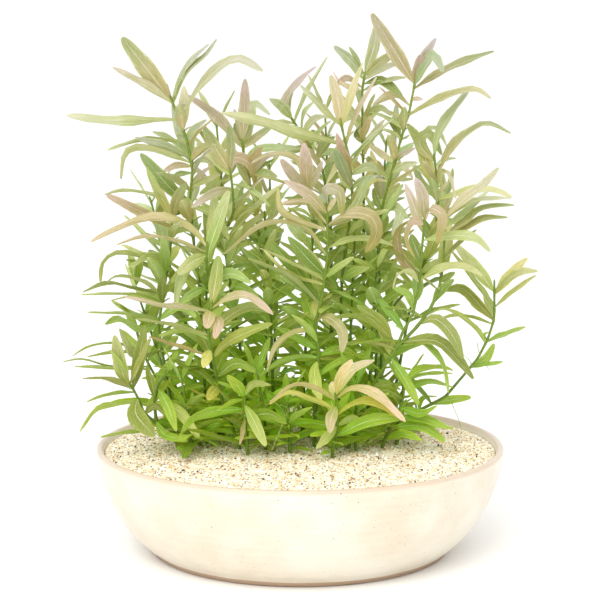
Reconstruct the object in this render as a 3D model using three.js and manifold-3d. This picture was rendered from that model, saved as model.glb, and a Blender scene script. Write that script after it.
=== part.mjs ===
// A potted dwarf hygrophila: a thicket of leafy shoots rooted in pale sand in a low round pot.
// Millimetres, +Z up, origin at the middle of the pot's foot, +Y away from the front.

import * as THREE from 'three';
import { mergeVertices } from 'three/addons/utils/BufferGeometryUtils.js';
import Module from 'manifold-3d';

// Driving dimensions

const POT_HEIGHT = 66;
const POT_RIM_RADIUS = 127;
const POT_FOOT_RADIUS = 94;
const POT_WALL = 5;
const POT_FLOOR = 6;
const POT_SIDES = 28;

const SAND_TOP = 68; // height of the sand in the middle of the mound
const SAND_FALL = 6; // how much lower it lies along the wall
const SAND_GAP = 0.3;

const STEM_RADIUS = 1.4; // to the corners of the square stem
const STEM_TIP_RADIUS = 0.8;
const STEM_SIDES = 4;
const ROOTING_DEPTH = 14;
const COLLAR = 2; // height of a stem's thickest point above the sand

const LEAF_THICKNESS = 0.9;
const FULL_LEAF = 38; // length of a grown leaf
const SLENDERNESS = 0.19; // least width of a leaf for its length
const STAGGER = 0.4; // most that a leaf sits above or below its place on the stem
const CLEARANCE = 0.35; // kept between the leaves of different shoots
const WELD = 0.12; // corners nearer than this are drawn together after joining

// The shoots are read off a front view ruled in half-millimetre squares, columns from its left edge
// and rows down from its top, as an eye sees them that stands a little above the pot.

const SQUARE = 0.5;
const MIDDLE_COLUMN = 300;
const GROUND_ROW = 541;
const EYE_DISTANCE = 1150;
const EYE_TILT = THREE.MathUtils.degToRad(8);
const EYE_AIM = 156;

// Leaf tints

const PINK = 0xc9a897;
const OLIVE = 0xb5ab7c;
const GOLD = 0xc6c477;
const PALE = 0xc3cda0;
const CREAM = 0xe6d3bb;
const GREEN = 0x86b04a;
const DEEP = 0x4f8f2a;

// Each shoot has a stem from the sand to its bud and the depths at which the stem starts and ends,
// negative towards the front. A leaf is a tint, the width it shows, and its midrib from the stem
// to the tip, in columns and rows.

const SHOOTS = {
  tall_left: {
    stem: [205, 545, 192, 440, 172, 330, 163, 245, 167, 205, 160, 168, 141, 120, 135, 100],
    depth: [6, -2],
    leaves: [
      [OLIVE, 22, 140, 118, 79, 41],
      [PINK, 11, 144, 124, 120, 107, 67, 78],
      [PALE, 7, 143, 118, 150, 100, 160, 78, 187, 49],
      [PALE, 5, 144, 122, 160, 85, 185, 62, 197, 43],
      [GOLD, 11, 153, 142, 165, 120, 185, 92, 222, 68, 254, 83],
      [PALE, 13, 152, 142, 70, 146, 10, 138],
      [GOLD, 14, 156, 155, 156, 101],
      [PINK, 12, 164, 190, 95, 165],
      [PALE, 6, 160, 170, 105, 169, 61, 181],
      [GREEN, 10, 166, 196, 100, 178, 85, 185, 78, 217],
      [PALE, 13, 163, 190, 152, 160, 142, 122],
      [GREEN, 9, 163, 184, 117, 158],
      [DEEP, 18, 163, 243, 147, 235, 102, 185],
      [GREEN, 11, 163, 250, 192, 262, 212, 292],
      [GREEN, 11, 170, 318, 140, 345],
    ],
  },
  mid_left: {
    stem: [150, 542, 134, 460, 124, 400, 130, 365, 139, 305, 143, 258],
    depth: [-4, -12],
    leaves: [
      [OLIVE, 12, 143, 266, 110, 202],
      [OLIVE, 14, 143, 264, 158, 222],
      [GREEN, 6, 144, 266, 130, 243, 85, 231, 57, 236],
      [OLIVE, 14, 143, 277, 125, 268, 60, 236],
      [GREEN, 8, 139, 302, 115, 292, 82, 262],
      [GREEN, 7, 139, 308, 112, 312, 78, 298],
      [GREEN, 7, 137, 325, 102, 313, 70, 310, 57, 320, 53, 345],
      [PALE, 10, 138, 320, 115, 311, 88, 325],
      [GREEN, 9, 132, 355, 100, 358, 83, 322],
      [OLIVE, 6, 130, 362, 100, 342, 70, 338, 60, 345],
      [DEEP, 6, 131, 358, 92, 352, 65, 346, 30, 357],
      [GREEN, 4, 130, 368, 92, 360, 28, 360],
      [GREEN, 6, 130, 372, 90, 363, 65, 367],
      [GREEN, 10, 126, 390, 105, 388, 66, 367],
      [GREEN, 10, 125, 397, 105, 402, 75, 388, 58, 397],
      [GREEN, 3, 126, 388, 85, 384, 37, 382],
      [DEEP, 10, 128, 428, 95, 440, 76, 402],
      [GREEN, 10, 130, 360, 152, 338, 172, 346],
      [GREEN, 11, 126, 392, 152, 374, 172, 388],
    ],
  },
  inner_left: {
    stem: [200, 546, 192, 470, 184, 400, 184, 345, 184, 315, 185, 296],
    depth: [2, -22],
    leaves: [
      [PALE, 16, 184, 315, 190, 296, 212, 231],
      [PALE, 12, 184, 322, 162, 324, 150, 342, 145, 375],
      [PINK, 10, 185, 300, 160, 277, 125, 267, 100, 270, 40, 295],
      [PINK, 7, 184, 306, 140, 292, 110, 288, 72, 298],
      [OLIVE, 16, 184, 312, 148, 335],
      [GREEN, 11, 184, 350, 215, 334, 240, 346],
      [GREEN, 11, 184, 352, 150, 372],
    ],
  },
  front_left: {
    stem: [225, 550, 203, 490, 196, 460, 188, 425, 186, 405, 191, 368],
    depth: [-26, -48],
    leaves: [
      [OLIVE, 16, 190, 372, 199, 312],
      [PINK, 7, 189, 380, 160, 377, 130, 375, 80, 362],
      [PINK, 8, 190, 377, 215, 363, 235, 362, 267, 385],
      [PINK, 15, 189, 380, 184, 402],
      [PINK, 13, 188, 390, 199, 392, 194, 415],
      [OLIVE, 7, 186, 410, 150, 400, 97, 390],
      [PINK, 7, 190, 437, 150, 425, 112, 412],
      [GREEN, 10, 187, 414, 160, 405, 125, 412],
      [OLIVE, 12, 191, 440, 210, 420, 240, 405, 266, 396],
      [OLIVE, 12, 186, 412, 215, 385, 240, 375, 265, 383],
      [GOLD, 13, 188, 428, 180, 451],
      [GOLD, 14, 199, 474, 185, 491],
      [GOLD, 5, 203, 490, 185, 487, 160, 475],
      [GREEN, 12, 196, 462, 222, 445, 246, 456],
    ],
  },
  low_left: {
    stem: [178, 549, 150, 534, 120, 518, 107, 507, 100, 490, 92, 475, 86, 466],
    depth: [-16, -34],
    fork: [122, 519, 119, 492, 125, 470, 137, 455],
    leaves: [
      [PALE, 17, 88, 474, 82, 462, 70, 410],
      [GREEN, 8, 87, 468, 63, 428],
      [GREEN, 13, 92, 478, 108, 397],
      [OLIVE, 7, 89, 470, 115, 415],
      [OLIVE, 9, 92, 477, 30, 464],
      [GREEN, 6, 94, 480, 60, 485, 35, 493],
      [GREEN, 9, 100, 492, 82, 495, 50, 502, 27, 530],
      [OLIVE, 20, 99, 488, 96, 506, 120, 536],
      [GREEN, 7, 115, 514, 104, 529, 80, 532, 52, 537],
      [GREEN, 9, 122, 519, 130, 532, 160, 542],
      [GOLD, 9, 108, 508, 120, 498, 133, 509],
      [GREEN, 8, 136, 458, 148, 430],
      [GREEN, 10, 119, 488, 110, 447],
      [GREEN, 14, 124, 475, 137, 500, 147, 530],
      [PALE, 12, 120, 492, 146, 502, 175, 538],
    ],
  },
  behind_low_left: {
    stem: [165, 545, 138, 490, 114, 450, 102, 425, 97, 402],
    depth: [-2, 4],
    leaves: [
      [GREEN, 5, 103, 428, 68, 420, 40, 424, 17, 436],
      [GREEN, 5, 113, 448, 70, 450, 30, 440, 6, 443],
      [GREEN, 5, 114, 452, 68, 452, 20, 449],
      [GREEN, 4, 104, 431, 62, 433, 36, 437],
      [GREEN, 10, 98, 408, 82, 378],
      [GREEN, 10, 98, 408, 119, 380],
    ],
  },
  back_left: {
    stem: [262, 546, 258, 440, 256, 350, 250, 290, 243, 243, 233, 205, 228, 168],
    depth: [22, 12],
    leaves: [
      [PINK, 15, 229, 172, 232, 92],
      [PINK, 9, 228, 170, 218, 130],
      [PALE, 15, 230, 180, 234, 148, 241, 122, 263, 137],
      [PINK, 14, 230, 178, 200, 140, 160, 112],
      [PINK, 10, 236, 215, 258, 190, 280, 186],
      [GREEN, 10, 243, 245, 215, 234, 190, 246],
      [GREEN, 10, 245, 248, 278, 234],
      [GREEN, 10, 250, 290, 224, 274],
      [GREEN, 11, 253, 325, 226, 336, 212, 354],
      [GREEN, 11, 254, 330, 288, 346],
    ],
  },
  centre_top: {
    stem: [345, 546, 349, 440, 352, 340, 363, 255, 365, 235, 361, 190, 353, 158, 350, 142],
    depth: [4, -4],
    leaves: [
      [GOLD, 16, 357, 175, 330, 169, 290, 161, 262, 150, 230, 142, 203, 135],
      [PINK, 15, 352, 155, 338, 88],
      [GOLD, 9, 352, 152, 320, 118, 300, 100],
      [GOLD, 10, 352, 152, 365, 110, 378, 72],
      [PINK, 5, 357, 174, 365, 150, 395, 90],
      [GREEN, 4, 360, 184, 345, 182, 335, 190],
      [GOLD, 8, 360, 186, 345, 200, 333, 222],
      [PALE, 10, 365, 226, 396, 212],
      [GREEN, 11, 364, 248, 334, 262],
      [GREEN, 11, 359, 285, 392, 268, 412, 280],
      [GREEN, 12, 352, 340, 386, 326],
    ],
  },
  top_mid: {
    stem: [330, 546, 339, 400, 338, 260, 328, 205, 311, 174, 288, 139],
    depth: [30, 14],
    leaves: [
      [PALE, 13, 289, 143, 262, 117],
      [GREEN, 6, 289, 142, 286, 130, 292, 105],
      [PINK, 9, 289, 143, 282, 122, 299, 97, 320, 77],
      [GREEN, 4, 291, 146, 310, 108, 334, 65],
      [GREEN, 4, 300, 160, 305, 135, 317, 121],
      [PALE, 8, 302, 162, 320, 142, 345, 141],
      [GREEN, 5, 293, 149, 266, 146],
      [PALE, 9, 311, 174, 290, 180, 272, 172],
      [GREEN, 10, 328, 206, 350, 196],
      [PINK, 10, 334, 240, 304, 212, 290, 215],
    ],
  },
  top_centre: {
    stem: [372, 546, 379, 400, 379, 250, 377, 105, 381, 84],
    depth: [36, 22],
    leaves: [
      [PALE, 15, 381, 87, 391, 55, 396, 20],
      [PALE, 12, 379, 93, 342, 52],
      [GREEN, 6, 380, 89, 361, 53],
      [GOLD, 13, 380, 89, 418, 60],
      [PALE, 8, 379, 93, 424, 73],
      [DEEP, 12, 378, 99, 400, 95, 427, 114],
      [PINK, 8, 377, 103, 358, 91, 343, 102],
      [PINK, 6, 377, 107, 352, 100, 341, 84],
      [GREEN, 6, 377, 107, 400, 97, 431, 91],
      [GREEN, 10, 378, 140, 400, 128, 414, 138],
      [GREEN, 14, 379, 338, 402, 325, 432, 329],
      [GREEN, 11, 379, 205, 352, 200],
      [PALE, 9, 379, 252, 400, 246, 418, 250, 434, 266],
    ],
  },
  top_right: {
    stem: [392, 546, 398, 330, 400, 258, 412, 215, 425, 168, 436, 132, 443, 94],
    depth: [12, 2],
    leaves: [
      [PINK, 18, 442, 99, 420, 62, 400, 30, 389, 11],
      [PINK, 12, 442, 98, 469, 42],
      [PINK, 14, 442, 97, 450, 62],
      [PALE, 10, 442, 101, 455, 78, 466, 63, 478, 84],
      [OLIVE, 9, 441, 104, 541, 58],
      [GOLD, 8, 435, 137, 460, 125, 515, 107, 537, 117],
      [PINK, 10, 438, 126, 415, 113, 390, 125],
      [PINK, 6, 439, 118, 453, 118],
      [PALE, 10, 425, 170, 420, 122],
      [PINK, 4, 432, 145, 400, 130],
      [GREEN, 5, 426, 167, 400, 154],
      [GREEN, 10, 412, 215, 385, 200, 370, 210],
      [PALE, 10, 414, 210, 446, 196],
      [PALE, 13, 401, 256, 424, 256, 415, 288],
      [GREEN, 11, 399, 300, 428, 288],
    ],
  },
  back_right: {
    stem: [398, 546, 400, 470, 402, 410, 411, 381, 428, 360, 447, 338, 457, 314, 466, 290, 472, 256, 470, 238, 469, 210,
      466, 186],
    depth: [27, 12],
    leaves: [
      [OLIVE, 15, 470, 238, 447, 168, 433, 148],
      [PALE, 7, 467, 192, 452, 170, 465, 152, 482, 176],
      [OLIVE, 7, 469, 212, 490, 178, 510, 160, 530, 149, 562, 160],
      [GOLD, 5, 469, 212, 481, 206, 493, 241],
      [GOLD, 5, 470, 237, 484, 220],
      [PALE, 9, 472, 243, 520, 230, 545, 232, 563, 240],
      [PALE, 10, 467, 190, 474, 158, 512, 103],
      [GREEN, 10, 469, 276, 500, 268],
      [GREEN, 10, 449, 335, 478, 314],
      [GREEN, 13, 411, 381, 413, 350, 419, 318],
    ],
  },
  front_right: {
    stem: [360, 548, 388, 475, 420, 425, 428, 405, 440, 385, 447, 350, 455, 262],
    depth: [-24, -36],
    fork: [420, 426, 445, 400, 460, 380, 472, 357, 478, 320, 480, 260],
    leaves: [
      [PINK, 15, 454, 267, 443, 215],
      [PINK, 12, 454, 284, 430, 222],
      [PINK, 13, 455, 268, 463, 253, 476, 262, 470, 297],
      [PINK, 7, 454, 274, 437, 268, 430, 286, 434, 303, 442, 313],
      [OLIVE, 12, 449, 337, 434, 324, 422, 302, 423, 281, 437, 267],
      [PALE, 11, 453, 292, 500, 287, 520, 292, 536, 307],
      [DEEP, 14, 451, 318, 438, 285],
      [PALE, 8, 448, 342, 475, 328, 500, 325, 527, 337],
      [DEEP, 12, 420, 424, 400, 400, 380, 386, 343, 387],
      [DEEP, 16, 413, 437, 400, 395, 370, 373],
      [OLIVE, 5, 419, 427, 390, 420, 366, 420, 340, 430],
      [OLIVE, 6, 389, 474, 410, 472, 425, 478],
      [OLIVE, 13, 423, 418, 470, 418, 490, 435, 515, 465],
      [GREEN, 6, 421, 424, 450, 420, 475, 445, 484, 482],
      [GREEN, 12, 412, 437, 430, 465, 447, 497],
      [OLIVE, 15, 447, 398, 466, 390, 486, 406, 502, 440],
      [PINK, 10, 480, 266, 500, 245, 530, 222, 547, 203],
      [PALE, 5, 480, 266, 510, 245, 563, 240],
      [OLIVE, 7, 479, 288, 505, 270, 525, 255, 566, 249],
      [OLIVE, 7, 479, 292, 505, 278, 525, 266, 558, 264],
      [PALE, 7, 480, 276, 492, 268, 535, 230],
      [DEEP, 9, 475, 345, 492, 332],
      [PALE, 6, 448, 344, 432, 331, 420, 337, 415, 353],
      [GREEN, 10, 443, 380, 434, 360, 416, 352],
    ],
  },
  right: {
    stem: [420, 545, 445, 505, 480, 487, 520, 440, 533, 415, 541, 390, 541, 343],
    depth: [-4, -8],
    leaves: [
      [GOLD, 12, 542, 360, 582, 314],
      [PALE, 7, 542, 356, 560, 340, 575, 332, 595, 331],
      [PALE, 4, 543, 376, 560, 360, 593, 336],
      [PALE, 16, 542, 357, 525, 335, 493, 298],
      [GREEN, 6, 543, 374, 520, 350, 487, 305],
      [OLIVE, 14, 540, 392, 525, 375, 500, 352, 478, 355],
      [PALE, 12, 540, 392, 528, 358],
      [GREEN, 4, 539, 395, 500, 386, 465, 392],
      [GREEN, 5, 531, 420, 515, 400, 480, 378, 466, 381],
      [GREEN, 4, 532, 418, 560, 408, 580, 400],
      [GREEN, 12, 514, 452, 530, 440, 541, 421],
      [GREEN, 4, 516, 448, 535, 446, 552, 443],
      [GREEN, 9, 462, 496, 480, 492, 512, 487],
    ],
  },
  low_right: {
    stem: [402, 548, 418, 515, 428, 490, 430, 462],
    depth: [-20, -30],
    leaves: [
      [GREEN, 5, 430, 470, 446, 455, 474, 451, 490, 454],
      [GREEN, 5, 429, 478, 460, 468, 490, 475],
      [GREEN, 9, 419, 513, 450, 513, 483, 525],
      [GREEN, 11, 413, 526, 450, 523, 480, 542],
      [GREEN, 8, 406, 539, 430, 533, 452, 541],
      [GREEN, 9, 425, 500, 452, 508, 470, 498],
      [GREEN, 12, 428, 490, 405, 478, 384, 486],
      [GREEN, 12, 418, 515, 390, 505, 370, 516],
    ],
  },
  front_centre: {
    stem: [340, 550, 346, 526, 346, 508, 344, 482],
    depth: [-44, -56],
    leaves: [
      [CREAM, 8, 345, 490, 320, 478, 295, 472, 262, 493],
      [GOLD, 8, 346, 502, 310, 490, 285, 483, 262, 496],
      [CREAM, 9, 345, 488, 365, 477, 390, 482, 431, 518],
      [GOLD, 8, 346, 508, 365, 497, 385, 492, 430, 515],
      [CREAM, 11, 344, 484, 352, 458, 365, 441],
      [CREAM, 12, 344, 486, 362, 455, 393, 441],
      [PINK, 14, 345, 498, 338, 515, 337, 532],
      [PINK, 13, 344, 487, 339, 468],
      [PALE, 12, 346, 522, 330, 540, 320, 551],
      [GREEN, 14, 344, 534, 385, 517, 430, 513],
      [PALE, 8, 346, 522, 365, 513, 378, 516],
      [GREEN, 13, 346, 524, 320, 520, 278, 516],
    ],
  },
  centre: {
    stem: [318, 548, 320, 450, 324, 432, 318, 398, 327, 365, 334, 312, 334, 243],
    depth: [-22, -28],
    leaves: [
      [PINK, 14, 334, 249, 333, 229, 348, 232, 352, 262],
      [GOLD, 6, 334, 258, 346, 239],
      [PINK, 8, 333, 272, 308, 247, 276, 248],
      [PINK, 14, 333, 260, 310, 235, 280, 218],
      [OLIVE, 10, 333, 280, 300, 270, 276, 256, 272, 225],
      [PINK, 8, 334, 312, 305, 277, 262, 272, 205, 310],
      [PINK, 13, 333, 274, 360, 259, 391, 266, 394, 288, 381, 308],
      [OLIVE, 12, 333, 276, 362, 262, 386, 212],
      [PALE, 6, 334, 302, 360, 292, 385, 291, 420, 300],
      [GREEN, 7, 333, 340, 350, 325, 367, 314],
      [DEEP, 16, 327, 368, 300, 335, 262, 293],
      [DEEP, 9, 326, 372, 290, 340, 235, 315],
      [DEEP, 16, 333, 336, 312, 318, 285, 288],
      [PALE, 4, 332, 342, 280, 317, 250, 302],
      [GOLD, 8, 331, 348, 285, 335, 255, 305],
      [PALE, 6, 320, 392, 300, 383, 272, 394],
      [CREAM, 9, 318, 404, 292, 408, 272, 424, 259, 455],
      [CREAM, 13, 319, 394, 332, 387, 352, 405, 352, 432],
      [GREEN, 10, 322, 420, 290, 385],
      [GREEN, 12, 323, 428, 300, 415, 270, 400],
      [GREEN, 10, 323, 438, 300, 437, 265, 450, 243, 468],
      [GREEN, 8, 323, 436, 350, 429, 378, 440],
      [OLIVE, 6, 323, 440, 345, 437, 367, 441],
      [PALE, 15, 321, 442, 318, 455, 325, 497],
    ],
  },
  centre_left: {
    stem: [303, 546, 306, 440, 313, 330, 317, 272, 309, 226],
    depth: [8, -8],
    leaves: [
      [PINK, 17, 309, 230, 305, 172],
      [PINK, 14, 310, 236, 276, 192],
      [PINK, 8, 310, 233, 328, 195],
      [PINK, 8, 309, 228, 294, 192, 262, 187, 240, 197],
      [OLIVE, 12, 316, 262, 344, 248],
      [DEEP, 14, 316, 290, 352, 292],
      [DEEP, 14, 313, 330, 284, 352],
      [DEEP, 14, 312, 336, 346, 352],
      [DEEP, 14, 308, 412, 272, 424],
      [DEEP, 14, 307, 420, 340, 412],
    ],
  },
  inner_upper_left: {
    stem: [240, 546, 228, 440, 214, 350, 205, 292, 218, 255, 216, 225, 212, 198],
    depth: [12, -6],
    leaves: [
      [OLIVE, 16, 213, 208, 180, 150],
      [PALE, 14, 214, 213, 172, 172],
      [OLIVE, 12, 213, 203, 212, 150],
      [PINK, 13, 213, 208, 218, 190, 236, 196, 247, 231],
      [GREEN, 5, 216, 222, 235, 228, 262, 250],
      [PINK, 12, 217, 228, 190, 235, 165, 252],
      [PALE, 9, 206, 300, 265, 255],
      [PALE, 6, 207, 296, 236, 262, 280, 222],
      [GREEN, 12, 214, 350, 248, 362],
      [DEEP, 13, 228, 440, 256, 424],
      [DEEP, 13, 228, 442, 202, 424],
    ],
  },
  front_small_left: {
    stem: [235, 550, 232, 515, 231, 482],
    depth: [-40, -50],
    leaves: [
      [GREEN, 13, 231, 488, 210, 460],
      [GREEN, 8, 231, 486, 240, 472, 264, 472],
      [GREEN, 7, 231, 490, 210, 495, 198, 504],
      [GREEN, 14, 232, 502, 190, 505, 165, 515, 152, 533],
      [PALE, 14, 231, 496, 242, 515, 258, 548],
      [PINK, 6, 232, 512, 229, 525, 225, 546],
      [GREEN, 13, 232, 514, 262, 508, 284, 520],
    ],
  },
};

// Green shoots that fill the thicket, mostly seen between the others: foot, top, number of leaf
// pairs and the turn of the lowest pair. Places are across, depth and height above the sand.

const FILLERS = {
  filler_back_far_left: { foot: [-62, 26], top: [-96, 44, 148], pairs: 5, turn: 20 },
  filler_back_left: { foot: [-40, 34], top: [-54, 60, 196], pairs: 6, turn: 65 },
  filler_back_mid_left: { foot: [-15, 38], top: [-20, 66, 168], pairs: 5, turn: 10 },
  filler_back_mid_right: { foot: [22, 40], top: [16, 62, 206], pairs: 6, turn: 40 },
  filler_back_right: { foot: [44, 36], top: [56, 62, 184], pairs: 6, turn: 75 },
  filler_back_far_right: { foot: [57, 34], top: [94, 46, 150], pairs: 4, turn: 5 },
  filler_right: { foot: [42, 20], top: [52, 42, 92], pairs: 4, turn: 50 },
  filler_left: { foot: [-78, 8], top: [-104, 16, 96], pairs: 4, turn: 30 },
  filler_mid_left: { foot: [-58, -8], top: [-62, -14, 104], pairs: 5, turn: 55 },
  filler_mid: { foot: [-16, 4], top: [-22, 6, 142], pairs: 5, turn: 25 },
  filler_mid_right: { foot: [30, 2], top: [34, 4, 128], pairs: 5, turn: 70 },
  filler_inner_right: { foot: [42, 0], top: [50, -2, 138], pairs: 5, turn: 15 },
  filler_low_left: { foot: [-66, -28], top: [-72, -31, 44], pairs: 3, turn: 35 },
  filler_low_mid_left: { foot: [-20, -30], top: [-26, -36, 50], pairs: 3, turn: 60 },
  filler_low_mid: { foot: [-6, -38], top: [-8, -42, 32], pairs: 3, turn: 20 },
  filler_low_mid_right: { foot: [34, -28], top: [34, -32, 40], pairs: 3, turn: 45 },
  filler_low_right: { foot: [60, -10], top: [64, -8, 36], pairs: 2, turn: 80 },
};

const wasm = await Module();
wasm.setup();

const UP = new THREE.Vector3(0, 0, 1);
const AWAY = new THREE.Vector3(0, 1, 0);

// Repeatable scatter between -1 and 1 for a pair of whole numbers
function scatter(first, second) {
  const wave = Math.sin(first * 12.9898 + second * 78.233) * 43758.5453;
  return 2 * (wave - Math.floor(wave)) - 1;
}

// Height of the sand at a distance from the pot's axis
function sandHeight(radius) {
  const share = Math.min(radius / (POT_RIM_RADIUS - POT_WALL), 1);
  return SAND_TOP - SAND_FALL * share * share;
}

// Where a square of the front view stands at a given depth
function place(column, row, depth) {
  const across = (column - MIDDLE_COLUMN) * SQUARE;
  const up = (GROUND_ROW - row) * SQUARE + (SAND_TOP - EYE_AIM) * Math.cos(EYE_TILT);
  const level = EYE_DISTANCE * Math.cos(EYE_TILT);
  const rise = EYE_DISTANCE * Math.sin(EYE_TILT);
  const reach = (depth + level) / (level + up * Math.sin(EYE_TILT));
  const height = EYE_AIM + rise + reach * (up * Math.cos(EYE_TILT) - rise);
  return new THREE.Vector3(across * reach, depth, height);
}

// Geometry and solids

function solidOf(geometry) {
  const bare = geometry.clone();
  bare.deleteAttribute('normal');
  bare.deleteAttribute('uv');
  const merged = mergeVertices(bare, 1e-4);
  const corners = merged.index.array;
  const triangles = [];
  for (let i = 0; i < corners.length; i += 3) {
    const [a, b, c] = [corners[i], corners[i + 1], corners[i + 2]];
    if (a !== b && b !== c && c !== a) triangles.push(a, b, c);
  }
  return new wasm.Manifold(
    new wasm.Mesh({
      numProp: 3,
      vertProperties: new Float32Array(merged.attributes.position.array),
      triVerts: new Uint32Array(triangles),
    }),
  );
}

function geometryOf(solid) {
  const { vertProperties, triVerts } = solid.getMesh();
  const corners = [];
  for (let i = 0; i < vertProperties.length; i += 3) {
    corners.push(new THREE.Vector3(vertProperties[i], vertProperties[i + 1], vertProperties[i + 2]));
  }
  const triangles = [];
  for (let i = 0; i < triVerts.length; i += 3) triangles.push([...triVerts.slice(i, i + 3)]);
  const geometry = new THREE.BufferGeometry().setFromPoints(corners);
  geometry.setIndex(welded(corners, triangles).flat());
  geometry.computeVertexNormals();
  return geometry;
}

// Joining leaves some corners almost on top of each other. Two such corners become one where only
// the two triangles between them close up, so that the skin stays whole.
function welded(corners, triangles) {
  const short = shortEdge(corners, triangles);
  if (!short) return triangles;
  const [kept, dropped] = short;
  const moved = triangles.map((triangle) => triangle.map((corner) => (corner === dropped ? kept : corner)));
  return welded(corners, moved.filter(([a, b, c]) => a !== b && b !== c && c !== a));
}

function shortEdge(corners, triangles) {
  const around = new Map();
  triangles.flat().forEach((corner) => around.set(corner, new Set()));
  triangles.forEach((triangle) => triangle.forEach((a) => triangle.forEach((b) => around.get(a).add(b))));
  for (const [a, b, c] of triangles) {
    for (const [from, to] of [[a, b], [b, c], [c, a]]) {
      if (corners[from].distanceTo(corners[to]) < WELD) {
        const shared = [...around.get(from)].filter((corner) => around.get(to).has(corner));
        if (shared.length === 4) return [from, to]; // both ends and one corner on either side
      }
    }
  }
  return null;
}

// A closed skin from a start point over rings of corners to an end point. The rings run
// anticlockwise as seen from the end.
function loft(start, rings, end) {
  const sides = rings[0].length;
  const corners = [start, ...rings.flat(), end];
  const last = corners.length - 1;
  const at = (ring, side) => 1 + ring * sides + (side % sides);
  const index = [];
  for (let side = 0; side < sides; side += 1) {
    index.push(0, at(0, side + 1), at(0, side));
    index.push(last, at(rings.length - 1, side), at(rings.length - 1, side + 1));
    for (let ring = 0; ring < rings.length - 1; ring += 1) {
      index.push(at(ring, side), at(ring, side + 1), at(ring + 1, side + 1));
      index.push(at(ring, side), at(ring + 1, side + 1), at(ring + 1, side));
    }
  }
  const geometry = new THREE.BufferGeometry().setFromPoints(corners);
  geometry.setIndex(index);
  return geometry;
}

// Stems: square, thinner towards the bud, and pointed at the rooted end

function stemSolid({ root, points }, extra = 0) {
  const rings = points.map((point, i) => {
    const before = points[Math.max(i - 1, 0)];
    const after = points[Math.min(i + 1, points.length - 1)];
    const along = after.clone().sub(before).normalize();
    const side = AWAY.clone().cross(along).normalize();
    const back = along.clone().cross(side);
    const share = i / (points.length - 1);
    const radius = THREE.MathUtils.lerp(STEM_RADIUS, STEM_TIP_RADIUS, share) + extra;
    return Array.from({ length: STEM_SIDES }, (_, k) => {
      const angle = (2 * Math.PI * k) / STEM_SIDES;
      return point
        .clone()
        .addScaledVector(side, radius * Math.cos(angle))
        .addScaledVector(back, radius * Math.sin(angle));
    });
  });
  const start = root.clone().addScaledVector(UP, -extra);
  const top = points[points.length - 1].clone();
  const lean = top.clone().sub(points[points.length - 2]).normalize();
  return solidOf(loft(start, rings, top.addScaledVector(lean, 1.5)));
}

// Leaves: lance-shaped, flat above and keeled below along the midrib. The blade's tilt at the middle
// is carried to both ends without a twist.

function leafSolid({ curve, reference, roll, width, stations }, extra = 0) {
  const middle = curve.getTangentAt(0.5);
  const flat = middle.clone().cross(reference).normalize().applyAxisAngle(middle, roll);
  const facing = middle.clone().cross(flat);
  if (facing.dot(UP) - facing.dot(AWAY) < 0) flat.negate();
  const rings = stations.map((share) => {
    const centre = curve.getPointAt(share);
    const along = curve.getTangentAt(share);
    const across = flat.clone().applyQuaternion(new THREE.Quaternion().setFromUnitVectors(middle, along));
    const face = along.clone().cross(across);
    const half = (width / 2) * leafOutline(share) + extra;
    const keel = LEAF_THICKNESS * (1.7 - share) + 2 * extra;
    const level = centre.clone().addScaledVector(face, extra);
    return [
      level.clone().addScaledVector(across, -half),
      level.clone().addScaledVector(face, -keel),
      level.clone().addScaledVector(across, half),
    ];
  });
  const tip = curve.getPoint(1).addScaledVector(curve.getTangent(1), extra);
  return solidOf(loft(curve.getPoint(0), rings, tip));
}

// Share of the full width at a share of the length: widest two fifths of the way out
function leafOutline(share) {
  return Math.sin(Math.PI * Math.pow(share, 0.76)) ** 0.8;
}

// How far a leaf may swing in depth and shorten to pass its neighbours, best first
const SWINGS = [
  [1, 1], [-1, 1], [0.5, 1], [-0.5, 1], [0, 1], [1.4, 1], [-1.4, 1], [0.75, 1], [-0.75, 1],
  [1, 0.8], [-1, 0.8], [0, 0.8], [0.5, 0.8], [-0.5, 0.8], [1, 0.6], [-1, 0.6], [0, 0.6],
];

// The point of a stem nearest to a square of the front view, as a share of its length
function shareOnStem(path, column, row) {
  let best = { gap: Infinity, share: 0 };
  for (let i = 0; i < path.squares.length - 1; i += 1) {
    const [a, b] = [path.squares[i], path.squares[i + 1]];
    const step = b.clone().sub(a);
    const along = THREE.MathUtils.clamp(
      new THREE.Vector2(column, row).sub(a).dot(step) / step.lengthSq(), 0, 1);
    const gap = a.clone().addScaledVector(step, along).distanceTo(new THREE.Vector2(column, row));
    if (gap < best.gap) best = { gap, share: i + along };
  }
  return best.share;
}

function pointOnStem(path, share) {
  const i = Math.min(Math.floor(share), path.points.length - 2);
  return path.points[i].clone().lerp(path.points[i + 1], share - i);
}

// A stem path from its squares and the depths of its ends
function readPath(numbers, depths) {
  const squares = [];
  for (let i = 0; i < numbers.length; i += 2) squares.push(new THREE.Vector2(numbers[i], numbers[i + 1]));
  const lengths = squares.map((square, i) => (i ? square.distanceTo(squares[i - 1]) : 0));
  const whole = lengths.reduce((sum, length) => sum + length, 0);
  let run = 0;
  const points = squares.map((square, i) => {
    run += lengths[i];
    return place(square.x, square.y, THREE.MathUtils.lerp(depths[0], depths[1], run / whole));
  });
  return { squares, points };
}

// A stem that stands in the sand under its first point
function rooted(points) {
  const foot = points[0].clone();
  foot.z = sandHeight(Math.hypot(foot.x, foot.y)) + COLLAR;
  const root = foot.clone().addScaledVector(UP, -COLLAR - ROOTING_DEPTH);
  return { root, points: [foot, ...points.slice(1)] };
}

// A stem that branches off at the first point
function branching(points) {
  const collar = points[0].clone().lerp(points[1], 0.12);
  return { root: points[0], points: [collar, ...points.slice(1)] };
}

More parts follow.
